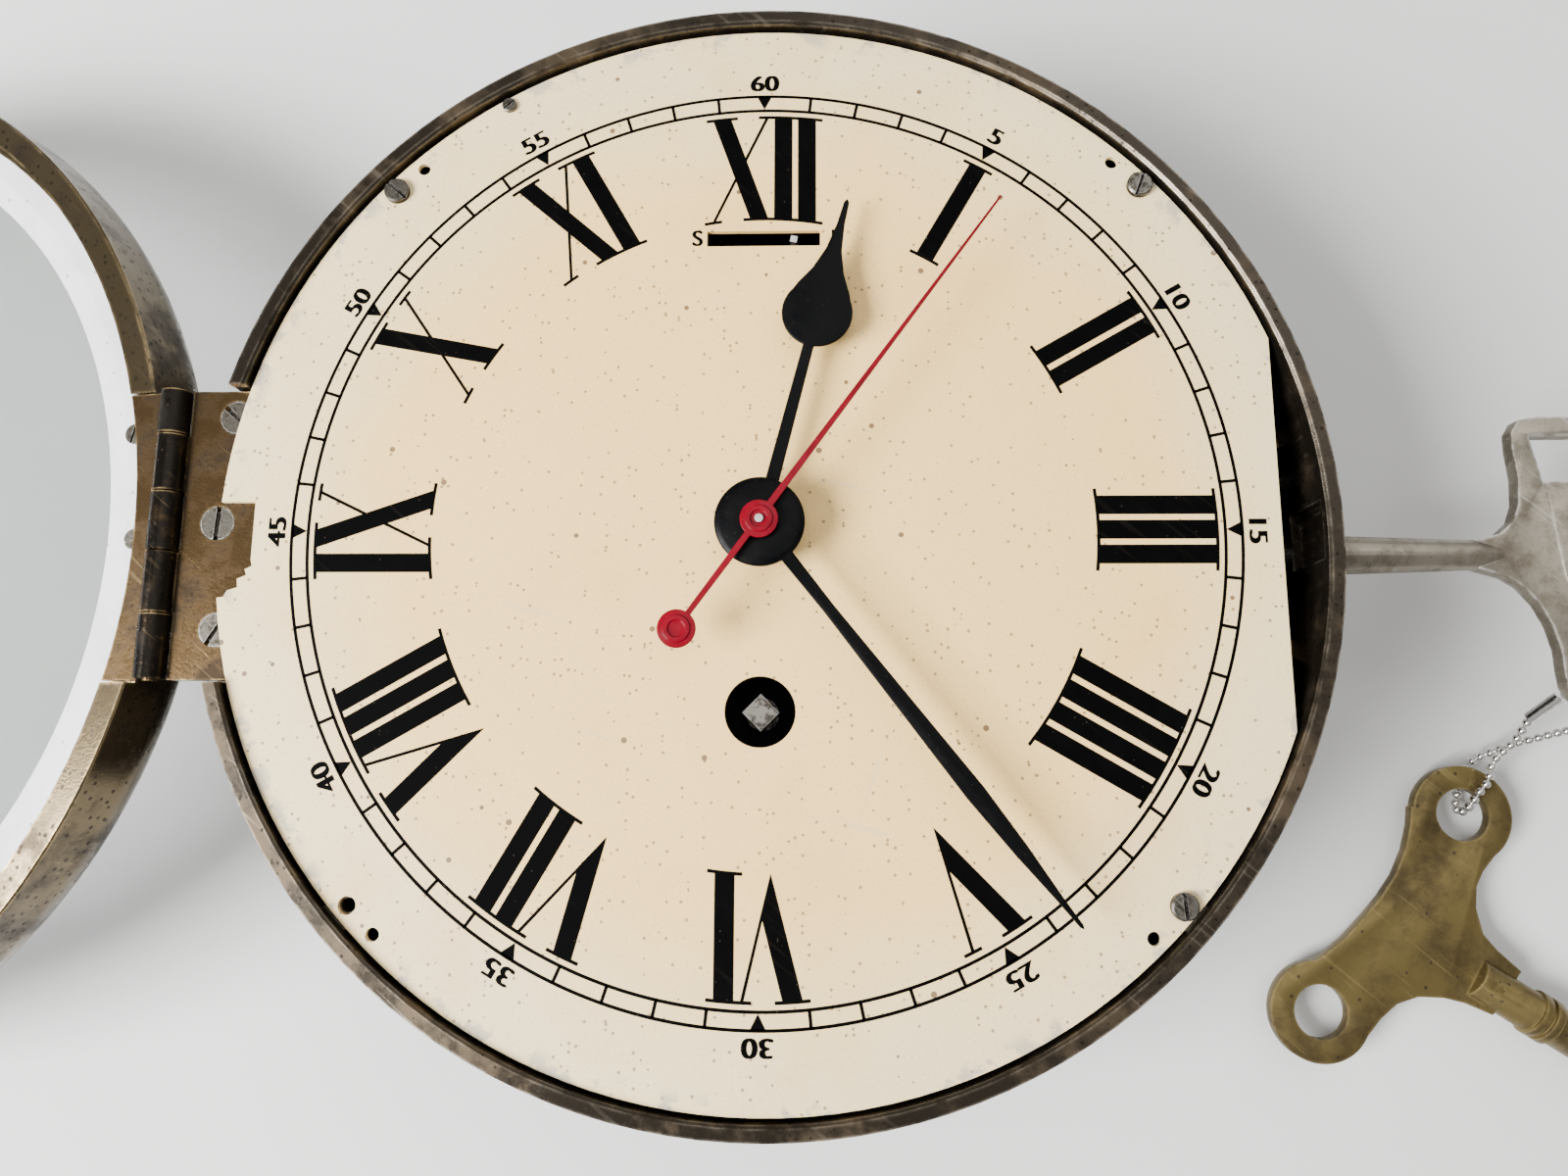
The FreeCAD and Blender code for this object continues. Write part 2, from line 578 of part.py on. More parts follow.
def dial_pillars():
    pillars = []
    for center in DIAL_PILLARS:
        post = disc(center, 2.5, FRONT_PLATE_Z[1], DIAL_BOTTOM_Z)
        tenon = disc(center, 1.3, FRONT_PLATE_Z[0], FRONT_PLATE_Z[1])
        pillars.append(post.fuse(tenon).removeSplitter())
    return Part.makeCompound(pillars)


def barrel():
    phase = wheel_phase(BARREL, INTERMEDIATE)
    wheel = toothed(BARREL, 72, 0.7, WHEEL_TOOTH, phase, 24.2, 26.2)
    drum = disc(BARREL, 23.5, 26.2, 36.4)
    cavity = disc(BARREL, 22.3, 26.2, 37.0)
    return without(united([wheel, drum]), [cavity, disc(BARREL, 3.06, 20.0, 40.0)])


def barrel_cover():
    return tube(BARREL, 23.5, 3.06, 36.4, 37.4)


def mainspring():
    turns = 7
    inner_r = 6.6
    gap = 2.05
    thickness = 0.5
    outer_points = []
    inner_points = []
    steps = turns * 16
    for step in range(steps + 1):
        radius = inner_r + gap * step / 16.0
        outer_points.append(vec(*polar(BARREL, radius + thickness, 22.5 * step), 26.8))
        inner_points.append(vec(*polar(BARREL, radius, 22.5 * step), 26.8))
    outer = Part.BSplineCurve()
    outer.interpolate(outer_points)
    inner = Part.BSplineCurve()
    inner.interpolate(inner_points)
    edges = [outer.toShape(), Part.makeLine(outer_points[-1], inner_points[-1]),
             inner.toShape(), Part.makeLine(inner_points[0], outer_points[0])]
    return Part.Face(Part.Wire(Part.__sortEdges__(edges))).extrude(vec(0, 0, 9.0))


def barrel_arbor():
    shaft = disc(BARREL, 3.0, PIVOT_Z, 49.0)
    hub = disc(BARREL, 6.0, 26.6, 36.0)
    square = box(-2.4, 2.4, BARREL[1] - 2.4, BARREL[1] + 2.4, 48.5, 57.0)
    return united([shaft, hub, spun(square, BARREL, 45.0)])


def ratchet_wheel():
    points = []
    step = 360.0 / RATCHET_TEETH
    for index in range(RATCHET_TEETH):
        points.append(polar(BARREL, 9.2, step * index))
        points.append(polar(BARREL, 7.7, step * index + 1.5))
    return prism(points, 44.6, 46.2).cut(disc(BARREL, 3.0, 44.0, 47.0))


def click_spring():
    nose = 360.0 / RATCHET_TEETH * 10 + 2.4
    outline = [polar(BARREL, 8.0, nose), polar(BARREL, 9.7, nose + 5.1), polar(BARREL, 10.3, nose + 20.0),
               polar(BARREL, 11.2, nose + 38.0), polar(BARREL, 14.0, nose + 50.0),
               polar(BARREL, 16.8, nose + 50.0), polar(BARREL, 12.6, nose + 36.0),
               polar(BARREL, 11.4, nose + 20.0), polar(BARREL, 11.0, nose), polar(BARREL, 9.6, nose - 1.0)]
    blade = prism(outline, 44.8, 46.0)
    pad = disc(CLICK_FOOT, 2.6, 44.8, 46.0)
    return united([blade, pad]).cut(disc(CLICK_FOOT, 0.9, 44.0, 47.0))


def click_screw():
    head = slotted_screw(CLICK_FOOT, 1.8, 1.0, 0.9, 1.2, 46.0, 30.0)
    washer = disc(CLICK_FOOT, 2.6, 44.0, 44.8)
    return united([head, washer])


def arbor(center, radius, z0, z1, teeth, module, phase, leaf_z0, leaf_z1):
    pinion = toothed(center, teeth, module, PINION_TOOTH, phase, leaf_z0, leaf_z1)
    return united([disc(center, radius, z0, z1), pinion])


def train_wheel(center, partner, teeth, module, bore_r, z0, z1):
    wheel = toothed(center, teeth, module, WHEEL_TOOTH, wheel_phase(center, partner), z0, z1)
    rim_r = teeth * module / 2.0 - 1.15 * module - 1.4
    wheel = crossed_out(wheel, center, bore_r + 2.6, rim_r, 4, 1.8, z0, z1)
    return wheel.cut(disc(center, bore_r, z0 - 1, z1 + 1))


def intermediate_arbor():
    phase = gap_phase(INTERMEDIATE, BARREL, 12)
    return arbor(INTERMEDIATE, 0.8, PIVOT_Z, 43.6, 12, 0.7, phase, 23.4, 26.9)


def intermediate_wheel():
    return train_wheel(INTERMEDIATE, MINUTE, 60, 0.6, 0.8, 39.3, 40.5)


def minute_arbor():
    phase = gap_phase(MINUTE, INTERMEDIATE, 10)
    return arbor(MINUTE, 1.0, PIVOT_Z, 43.6, 10, 0.6, phase, 38.6, 41.2)


def minute_wheel():
    return train_wheel(MINUTE, THIRD, 64, 0.5, 1.0, 21.2, 22.4)


def third_arbor():
    phase = gap_phase(THIRD, MINUTE, 8)
    back = arbor(THIRD, 0.6, PIVOT_Z, 45.8, 8, 0.5, phase, 20.7, 22.9)
    front_phase = gap_phase(THIRD, HANDS, FRONT_PINION_TEETH)
    front = toothed(THIRD, FRONT_PINION_TEETH, CANNON_MODULE, PINION_TOOTH, front_phase, 44.4, 45.5)
    return united([back, front])


def third_wheel():
    return train_wheel(THIRD, HANDS, 60, 0.5, 0.6, 29.5, 30.5)


def seconds_arbor():
    phase = gap_phase(HANDS, THIRD, 8)
    return arbor(HANDS, 0.75, PIVOT_Z, 70.0, 8, 0.5, phase, 28.6, 31.4)


def seconds_wheel():
    return train_wheel(HANDS, ESCAPE, 80, 0.38, 0.75, 39.4, 40.4)


def escape_arbor():
    phase = gap_phase(ESCAPE, HANDS, 8)
    return arbor(ESCAPE, 0.7, PIVOT_Z, 49.2, 8, 0.38, phase, 38.6, 41.2)


def escape_wheel():
    points = []
    for index in range(15):
        start = 24.0 * index
        points.append(polar(ESCAPE, 3.4, start))
        points.append(polar(ESCAPE, 4.6, start + 6.0))
        points.append(polar(ESCAPE, 4.6, start + 9.0))
        points.append(polar(ESCAPE, 3.4, start + 10.0))
    return prism(points, 45.8, 46.6).cut(disc(ESCAPE, 0.7, 45.0, 49.0))


def cannon_pinion():
    wheel = toothed(HANDS, CANNON_TEETH, CANNON_MODULE, WHEEL_TOOTH, wheel_phase(HANDS, THIRD), 44.5, 45.3)
    wheel = crossed_out(wheel, HANDS, 6.0, 12.6, 5, 1.8, 44.5, 45.3)
    leaf_phase = gap_phase(HANDS, MOTION, MINUTE_LEAVES)
    leaves = toothed(HANDS, MINUTE_LEAVES, MOTION_MODULE, PINION_TOOTH, leaf_phase, 45.3, 47.0)
    pipe = disc(HANDS, 1.7, 44.3, 68.2)
    return united([wheel, leaves, pipe]).cut(disc(HANDS, 0.81, 44.0, 70.0))


def motion_wheel():
    wheel = toothed(MOTION, MOTION_TEETH, MOTION_MODULE, WHEEL_TOOTH, wheel_phase(MOTION, HANDS), 45.8, 46.6)
    wheel = crossed_out(wheel, MOTION, 5.0, 11.6, 4, 1.8, 45.8, 46.6)
    leaf_phase = gap_phase(MOTION, HANDS, MOTION_LEAVES)
    leaves = toothed(MOTION, MOTION_LEAVES, HOUR_MODULE, PINION_TOOTH, leaf_phase, 46.6, 48.5)
    return united([wheel, leaves]).cut(disc(MOTION, 0.96, 45.0, 51.0))


def motion_stud():
    post = disc(MOTION, 0.9, FRONT_PLATE_Z[0], 49.4)
    collar = disc(MOTION, 2.0, FRONT_PLATE_Z[1], 45.6)
    return post.fuse(collar).removeSplitter()


def hour_wheel():
    wheel = toothed(HANDS, HOUR_TEETH, HOUR_MODULE, WHEEL_TOOTH, wheel_phase(HANDS, MOTION), 47.3, 48.1)
    wheel = crossed_out(wheel, HANDS, 5.0, 12.4, 4, 1.8, 47.3, 48.1)
    pipe = disc(HANDS, 2.6, 47.3, 65.2)
    return united([wheel, pipe]).cut(disc(HANDS, 1.78, 46.0, 70.0))


def hand_blank(points, z0, z1, clockwise_from_twelve):
    blank = prism(points, z0, z1)
    return spun(blank, HANDS, -clockwise_from_twelve)


HOUR_ANGLE = 14.3
MINUTE_HAND_ANGLE = 141.9
SECONDS_ANGLE = 36.0


def hour_hand():
    z0 = 64.0
    z1 = 64.7
    stem = [(-1.3, 3.0), (1.3, 3.0), (1.0, 36.5), (-1.0, 36.5)]
    body = disc((0, 41.7), 6.6, z0, z1)
    shoulder_left = [(-6.4, 43.2), (-4.9, 46.8), (-3.0, 50.2), (-1.5, 54.6), (-0.7, 60.0), (-0.5, 64.4)]
    outline = shoulder_left + [(0.0, 65.2)] + [(-x, y) for x, y in reversed(shoulder_left)]
    hand = united([hand_blank(stem, z0, z1, HOUR_ANGLE), spun(body, HANDS, -HOUR_ANGLE),
                   hand_blank(outline, z0, z1, HOUR_ANGLE), disc(HANDS, 7.6, z0, z1)])
    return hand.cut(disc(HANDS, 2.6, 60.0, 70.0))


def minute_hand():
    z0 = 66.9
    z1 = 67.5
    half = [(1.3, 3.0), (1.05, 20.0), (1.55, 48.0), (1.75, 60.0), (1.3, 72.0), (0.6, 82.0), (0.35, 87.6)]
    outline = [(-x, y) for x, y in half] + [(0.0, 88.3)] + list(reversed(half))
    boss = disc(HANDS, 8.1, z0, z1).fuse(cone(HANDS, 8.1, 6.9, z1, z1 + 0.5))
    hand = united([hand_blank(outline, z0, z1, MINUTE_HAND_ANGLE), boss])
    return hand.cut(disc(HANDS, 1.7, 60.0, 70.0))


def seconds_hand():
    z0 = 69.2
    z1 = 69.6
    needle = [(-0.65, -1.0), (0.65, -1.0), (0.5, 30.0), (0.2, 75.0), (-0.2, 75.0), (-0.5, 30.0)]
    tail = [(-0.5, -24.0), (0.5, -24.0), (0.6, 0.0), (-0.6, 0.0)]
    weight = disc((0, -24.1), 3.4, z0, z1)
    weight_ring = tube((0, -24.1), 2.4, 1.5, z1, z1 + 0.25)
    hub_ring = tube(HANDS, 2.4, 1.5, z1, z1 + 0.25)
    collet = disc(HANDS, 1.6, 68.4, z0)
    hand = united([hand_blank(needle, z0, z1, SECONDS_ANGLE), hand_blank(tail, z0, z1, SECONDS_ANGLE),
                   spun(weight, HANDS, -SECONDS_ANGLE), spun(weight_ring, HANDS, -SECONDS_ANGLE),
                   disc(HANDS, 3.4, z0, z1), hub_ring, collet])
    return hand.cut(disc(HANDS, 0.75, 60.0, 70.5))


def lever_frame(points, z0, z1):
    piece = prism(points, z0, z1)
    piece.rotate(vec(0, 0, 0), vec(0, 0, 1), direction(LEVER, BALANCE) - 90.0)
    piece.translate(vec(LEVER[0], LEVER[1], 0))
    return piece


def pallet_lever():
    outline = [(-0.7, -0.6), (-4.6, -1.9), (-6.0, -4.9), (-5.2, -5.5), (-4.1, -3.3), (0.0, -1.7),
               (4.1, -3.3), (5.2, -5.5), (6.0, -4.9), (4.6, -1.9), (0.7, -0.6), (0.6, 6.2),
               (1.5, 8.0), (1.2, 8.6), (0.5, 7.2), (-0.5, 7.2), (-1.2, 8.6), (-1.5, 8.0), (-0.6, 6.2)]
    body = lever_frame(outline, 45.8, 46.6)
    hub = disc(LEVER, 1.1, 45.8, 46.6)
    return united([body, hub]).cut(disc(LEVER, 0.45, 45.0, 48.0))


def pallet_arbor():
    return disc(LEVER, 0.45, 42.2, 49.2)


def pallet_cock():
    foot = (-15.5, 21.0)
    outline = [(-18.5, 18.6), (-15.0, 17.6), (-6.4, 13.6), (-4.2, 13.6), (-1.6, 23.6),
               (-3.4, 25.0), (-14.8, 24.2), (-18.2, 23.4)]
    plate = prism(outline, 48.4, 49.6)
    pillar = disc(foot, 3.2, FRONT_PLATE_Z[1], 48.4)
    cutters = [disc(ESCAPE, 0.76, 48.0, 51.0), disc(LEVER, 0.5, 48.0, 51.0),
               disc(foot, 1.15, 43.0, 51.0)]
    return without(united([plate, pillar]), cutters)


def balance_cock():
    foot = (16.5, 36.0)
    outline = [(19.6, 33.0), (20.2, 38.6), (14.0, 39.4), (0.0, 36.6), (-2.6, 35.4), (-3.4, 33.0),
               (-2.6, 30.6), (0.0, 29.4), (14.0, 32.2)]
    plate = prism(outline, 55.0, 56.4)
    pillar = disc(foot, 3.4, FRONT_PLATE_Z[1], 55.0)
    boss = disc(BALANCE, 2.2, 56.4, 57.6)
    cutters = [disc(BALANCE, 0.56, 54.0, 57.0), disc(foot, 1.15, 43.0, 58.0)]
    return without(united([plate, pillar, boss]), cutters)


def cock_screws():
    pallet = slotted_screw((-15.5, 21.0), 2.0, 0.9, 1.1, 5.0, 49.6, 15.0)
    balance = slotted_screw((16.5, 36.0), 2.2, 1.0, 1.1, 5.0, 56.4, 70.0)
    return Part.makeCompound([pallet, balance])


def balance_wheel():
    z0 = 50.2
    z1 = 51.4
    rim = tube(BALANCE, 9.2, 8.1, z0, z1)
    arm = box(-8.4, 8.4, BALANCE[1] - 0.7, BALANCE[1] + 0.7, z0, z1)
    hub = disc(BALANCE, 1.6, z0, z1)
    return united([rim, spun(arm, BALANCE, 30.0), hub]).cut(disc(BALANCE, 0.5, 49.0, 53.0))


def balance_staff():
    staff = disc(BALANCE, 0.5, 42.2, 56.8)
    roller = disc(BALANCE, 2.9, 47.6, 48.1)
    pin = disc((BALANCE[0], BALANCE[1] - 2.3), 0.3, 46.9, 47.6)
    collet = disc(BALANCE, 1.15, 52.4, 53.6)
    return united([staff, roller, spun(pin, BALANCE, direction(BALANCE, LEVER) + 90.0), collet])


def hairspring():
    turns = 5
    start_r = 1.15
    gap = HAIRSPRING_GAP
    outer_points = []
    inner_points = []
    for step in range(turns * 16 + 1):
        radius = start_r + gap * step / 16.0
        angle = 22.5 * step + 150.0
        outer_points.append(vec(*polar(BALANCE, radius + 0.12, angle), 52.7))
        inner_points.append(vec(*polar(BALANCE, radius, angle), 52.7))
    outer = Part.BSplineCurve()
    outer.interpolate(outer_points)
    inner = Part.BSplineCurve()
    inner.interpolate(inner_points)
    edges = [outer.toShape(), Part.makeLine(outer_points[-1], inner_points[-1]),
             inner.toShape(), Part.makeLine(inner_points[0], outer_points[0])]
    return Part.Face(Part.Wire(Part.__sortEdges__(edges))).extrude(vec(0, 0, 0.6))


def regulator_index():
    lean = REGULATOR_LEAN
    ring = tube(BALANCE, 3.6, 2.26, 56.5, 57.3)
    arm = prism([(-0.9, 36.2), (0.9, 36.2), (0.65, 59.0), (-0.65, 59.0)], 56.5, 57.3)
    pointer = box(-0.65, 0.65, 57.65, 58.95, 56.5, 59.7)
    pieces = [ring, spun(arm, BALANCE, lean), spun(pointer, BALANCE, lean)]
    for offset in (-0.45, 0.45):
        pin = disc((0.0, BALANCE[1] + CURB_R + offset), 0.18, 52.4, 56.6)
        pieces.append(spun(pin, BALANCE, lean))
    return united(pieces)


def winding_key():
    z0 = KEY_AXIS_Z - KEY_PLATE_HALF
    z1 = KEY_AXIS_Z + KEY_PLATE_HALF
    plate = prism(KEY_LEFT_SIDE + KEY_LOWER_SIDE + KEY_RIGHT_SIDE, z0, z1)
    pieces = [plate, disc(KEY_UPPER, KEY_LOBE_R, z0, z1), disc(KEY_LOWER, KEY_LOBE_R, z0, z1)]
    turn = math.radians(KEY_SHANK_ANGLE)
    heading = vec(math.cos(turn), math.sin(turn), 0)
    for start, length, radius in KEY_TURNINGS:
        origin = vec(KEY_SHANK_START[0], KEY_SHANK_START[1], KEY_AXIS_Z) + heading * start
        pieces.append(Part.makeCylinder(radius, length, origin, heading))
    socket_start = polar(KEY_SHANK_START, 30.0, KEY_SHANK_ANGLE)
    half = KEY_SQUARE / 2.0
    socket = box(0.0, 16.0, -half, half, -half, half)
    socket.rotate(vec(0, 0, 0), vec(0, 0, 1), KEY_SHANK_ANGLE)
    socket.translate(vec(socket_start[0], socket_start[1], KEY_AXIS_Z))
    cutters = [disc(KEY_UPPER, KEY_HOLE_R, 0, 12), disc(KEY_LOWER, KEY_HOLE_R, 0, 12), socket]
    cutters.append(disc(key_pin_center(), KEY_PIN_R, 0, 12))
    return without(united(pieces), cutters)


def key_pin_center():
    return polar(KEY_SHANK_START, KEY_PIN_DISTANCE, KEY_SHANK_ANGLE)


def winding_key_pin():
    return disc(key_pin_center(), KEY_PIN_R, KEY_AXIS_Z - 4.2, KEY_AXIS_Z + 4.2)


def chain_points():
    route = Part.BSplineCurve()
    route.interpolate([vec(x, y, z) for x, y, z in CHAIN_ROUTE], PeriodicFlag=True)
    count = round(route.length() / BEAD_PITCH)
    return route.discretize(Number=count + 1)[:-1]


def bead_chain():
    beads = []
    for index, point in enumerate(chain_points()):
        if COUPLING_START <= index < COUPLING_START + COUPLING_BEADS:
            continue
        beads.append(Part.makeSphere(BEAD_R, point))
    return Part.makeCompound(beads)


def chain_coupling():
    points = chain_points()
    first = points[COUPLING_START]
    last = points[COUPLING_START + COUPLING_BEADS - 1]
    heading = last - first
    heading.normalize()
    start = first - heading * COUPLING_OVERHANG
    length = (last - first).Length + 2 * COUPLING_OVERHANG
    return Part.makeCylinder(COUPLING_R, length, start, heading)


def export(name, shape):
    solids = shape.Solids
    valid = shape.isValid() and len(solids) > 0
    if len(solids) == 1:
        shape = solids[0]
    shape.exportStep("parts/" + name + ".step")
    note = "" if valid else "  NOT VALID"
    print(name, len(solids), round(shape.Volume, 2), note)


NODES = (
    ("case_body", case_body), ("dial_plate", dial_plate), ("dial_screws", dial_screws),
    ("dial_small_screw", dial_small_screw), ("dial_pillars", dial_pillars),
    ("hinge_case_leaf", hinge_case_leaf), ("hinge_case_screws", hinge_case_screws),
    ("hinge_pin", hinge_pin), ("lock_bracket", lock_bracket),
    ("bezel_ring", bezel_ring), ("bezel_glass", bezel_glass), ("sight_ring", sight_ring),
    ("hinge_bezel_leaf", hinge_bezel_leaf), ("sight_ring_screws", sight_ring_screws),
    ("latch_tongue", latch_tongue), ("lock_spindle", lock_spindle), ("lock_cam", lock_cam),
    ("lock_key", lock_key), ("winding_key", winding_key), ("winding_key_pin", winding_key_pin),
    ("bead_chain", bead_chain), ("chain_coupling", chain_coupling),
    ("movement_front_plate", movement_front_plate), ("movement_back_plate", movement_back_plate),
    ("movement_pillars", movement_pillars), ("plate_screws", plate_screws),
    ("barrel", barrel), ("barrel_cover", barrel_cover), ("mainspring", mainspring),
    ("barrel_arbor", barrel_arbor), ("ratchet_wheel", ratchet_wheel),
    ("click_spring", click_spring), ("click_screw", click_screw),
    ("intermediate_arbor", intermediate_arbor), ("intermediate_wheel", intermediate_wheel),
    ("minute_arbor", minute_arbor), ("minute_wheel", minute_wheel),
    ("third_arbor", third_arbor), ("third_wheel", third_wheel),
    ("seconds_arbor", seconds_arbor), ("seconds_wheel", seconds_wheel),
    ("escape_arbor", escape_arbor), ("escape_wheel", escape_wheel),
    ("cannon_pinion", cannon_pinion), ("motion_wheel", motion_wheel), ("motion_stud", motion_stud),
    ("hour_wheel", hour_wheel), ("hour_hand", hour_hand), ("minute_hand", minute_hand),
    ("seconds_hand", seconds_hand), ("pallet_lever", pallet_lever), ("pallet_arbor", pallet_arbor),
    ("pallet_cock", pallet_cock), ("balance_cock", balance_cock), ("cock_screws", cock_screws),
    ("balance_wheel", balance_wheel), ("balance_staff", balance_staff), ("hairspring", hairspring),
    ("regulator_index", regulator_index),
)


def main():
    os.makedirs("parts", exist_ok=True)
    for name, maker in NODES:
        export(name, maker())


main()
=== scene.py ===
import json
import math

import bmesh
import bpy
from mathutils import Matrix, Vector


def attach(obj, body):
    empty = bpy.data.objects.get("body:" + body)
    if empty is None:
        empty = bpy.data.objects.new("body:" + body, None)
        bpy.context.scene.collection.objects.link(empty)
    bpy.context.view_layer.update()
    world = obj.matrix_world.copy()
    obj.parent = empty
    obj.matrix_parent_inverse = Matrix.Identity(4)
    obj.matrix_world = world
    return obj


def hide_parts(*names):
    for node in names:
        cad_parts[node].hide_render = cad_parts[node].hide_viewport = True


# Ship's bulkhead clock on its back, bezel hinged open, with its lock key and winding key
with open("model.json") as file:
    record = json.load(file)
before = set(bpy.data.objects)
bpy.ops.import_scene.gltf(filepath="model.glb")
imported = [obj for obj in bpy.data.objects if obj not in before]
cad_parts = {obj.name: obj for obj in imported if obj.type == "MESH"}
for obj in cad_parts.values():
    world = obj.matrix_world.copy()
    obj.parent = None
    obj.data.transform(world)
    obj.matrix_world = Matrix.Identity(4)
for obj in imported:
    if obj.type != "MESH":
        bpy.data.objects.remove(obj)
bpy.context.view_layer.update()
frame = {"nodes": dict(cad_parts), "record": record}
nodes = frame["nodes"]
slotOf = {part["node"]: part["material_slot"] for part in frame["record"]["subparts"]}
bodies = frame["record"]["behaviour"]["bodies"]
bodyOf = {node: body for body, members in bodies.items() for node in members}
mm = 0.001
print("frame loaded", len(nodes), "nodes")


def newGroup(name, inputs):
    # a shader node group with number inputs that gives one mask
    group = bpy.data.node_groups.new(name, "ShaderNodeTree")
    for label, value in inputs.items():
        socket = group.interface.new_socket(label, in_out="INPUT", socket_type="NodeSocketFloat")
        socket.default_value = value
    group.interface.new_socket("Mask", in_out="OUTPUT", socket_type="NodeSocketFloat")
    start = group.nodes.new("NodeGroupInput")
    end = group.nodes.new("NodeGroupOutput")
    return group, start, end


def add(tree, kind, **settings):
    node = tree.nodes.new(kind)
    for key, value in settings.items():
        setattr(node, key, value)
    return node


def math2(tree, operation, first, second=None, clamp=False):
    node = add(tree, "ShaderNodeMath", operation=operation, use_clamp=clamp)
    for index, value in enumerate((first, second)):
        if value is None:
            continue
        if isinstance(value, (int, float)):
            node.inputs[index].default_value = value
        else:
            tree.links.new(value, node.inputs[index])
    return node.outputs[0]


def noise(tree, vector, scale, detail=4.0, roughness=0.6):
    node = add(tree, "ShaderNodeTexNoise")
    node.inputs["Detail"].default_value = detail
    node.inputs["Roughness"].default_value = roughness
    tree.links.new(vector, node.inputs["Vector"])
    if isinstance(scale, (int, float)):
        node.inputs["Scale"].default_value = scale
    else:
        tree.links.new(scale, node.inputs["Scale"])
    return node.outputs["Fac"]


def ramp(tree, value, low, high):
    node = add(tree, "ShaderNodeMapRange", interpolation_type="SMOOTHSTEP")
    tree.links.new(value, node.inputs["Value"])
    for label, edge in (("From Min", low), ("From Max", high)):
        if isinstance(edge, (int, float)):
            node.inputs[label].default_value = edge
        else:
            tree.links.new(edge, node.inputs[label])
    return node.outputs["Result"]


edgeWearShape = dict(samples=4, bendLow=0.02, bendHigh=0.16, patchLow=0.36, patchHigh=0.6, detail=5.0)


def makeEdgeWear():
    group, start, end = newGroup("edgeWear", {"Radius": 0.0008, "Breakup": 180.0})
    bevel = add(group, "ShaderNodeBevel", samples=edgeWearShape["samples"])
    group.links.new(start.outputs["Radius"], bevel.inputs["Radius"])
    geometry = add(group, "ShaderNodeNewGeometry")
    dot = add(group, "ShaderNodeVectorMath", operation="DOT_PRODUCT")
    group.links.new(bevel.outputs["Normal"], dot.inputs[0])
    group.links.new(geometry.outputs["Normal"], dot.inputs[1])
    bend = math2(group, "SUBTRACT", 1.0, dot.outputs["Value"])
    bend = ramp(group, bend, edgeWearShape["bendLow"], edgeWearShape["bendHigh"])
    place = add(group, "ShaderNodeTexCoord")
    patch = noise(group, place.outputs["Object"], start.outputs["Breakup"], edgeWearShape["detail"])
    patch = ramp(group, patch, edgeWearShape["patchLow"], edgeWearShape["patchHigh"])
    group.links.new(math2(group, "MULTIPLY", bend, patch), end.inputs["Mask"])
    return group


mottleShape = dict(detail=7.0, roughness=0.68)


def makeMottle():
    group, start, end = newGroup("mottle", {"Scale": 60.0, "Low": 0.4, "High": 0.6})
    place = add(group, "ShaderNodeTexCoord")
    cloud = noise(group, place.outputs["Object"], start.outputs["Scale"], mottleShape["detail"],
                  mottleShape["roughness"])
    group.links.new(ramp(group, cloud, start.outputs["Low"], start.outputs["High"]), end.inputs["Mask"])
    return group


def makeSpeckle():
    group, start, end = newGroup("speckle", {"Scale": 700.0, "Size": 0.2, "Share": 0.2})
    place = add(group, "ShaderNodeTexCoord")
    cells = add(group, "ShaderNodeTexVoronoi")
    group.links.new(place.outputs["Object"], cells.inputs["Vector"])
    group.links.new(start.outputs["Scale"], cells.inputs["Scale"])
    near = math2(group, "LESS_THAN", cells.outputs["Distance"], start.outputs["Size"])
    chosen = add(group, "ShaderNodeSeparateColor")
    group.links.new(cells.outputs["Color"], chosen.inputs["Color"])
    kept = math2(group, "LESS_THAN", chosen.outputs["Red"], start.outputs["Share"])
    group.links.new(math2(group, "MULTIPLY", near, kept), end.inputs["Mask"])
    return group


scratchShape = dict(stretch=(0.035, 1.0, 0.3), detail=3.0, roughness=0.5, softness=0.05, patchScale=45.0,
                    patchDetail=2.0, patchLow=0.42, patchHigh=0.62)


def makeScratches():
    group, start, end = newGroup("scratches", {"Turn": 0.5, "Fineness": 900.0, "Cutoff": 0.66})
    place = add(group, "ShaderNodeTexCoord")
    turned = add(group, "ShaderNodeVectorRotate", rotation_type="Z_AXIS")
    group.links.new(place.outputs["Object"], turned.inputs["Vector"])
    group.links.new(start.outputs["Turn"], turned.inputs["Angle"])
    stretched = add(group, "ShaderNodeMapping")
    stretched.inputs["Scale"].default_value = scratchShape["stretch"]
    group.links.new(turned.outputs["Vector"], stretched.inputs["Vector"])
    lines = noise(group, stretched.outputs["Vector"], start.outputs["Fineness"], scratchShape["detail"],
                  scratchShape["roughness"])
    high = math2(group, "ADD", start.outputs["Cutoff"], scratchShape["softness"])
    marks = ramp(group, lines, start.outputs["Cutoff"], high)
    patches = noise(group, place.outputs["Object"], scratchShape["patchScale"], scratchShape["patchDetail"])
    patches = ramp(group, patches, scratchShape["patchLow"], scratchShape["patchHigh"])
    group.links.new(math2(group, "MULTIPLY", marks, patches), end.inputs["Mask"])
    return group


edgeWear = makeEdgeWear()
mottle = makeMottle()
speckle = makeSpeckle()
scratches = makeScratches()


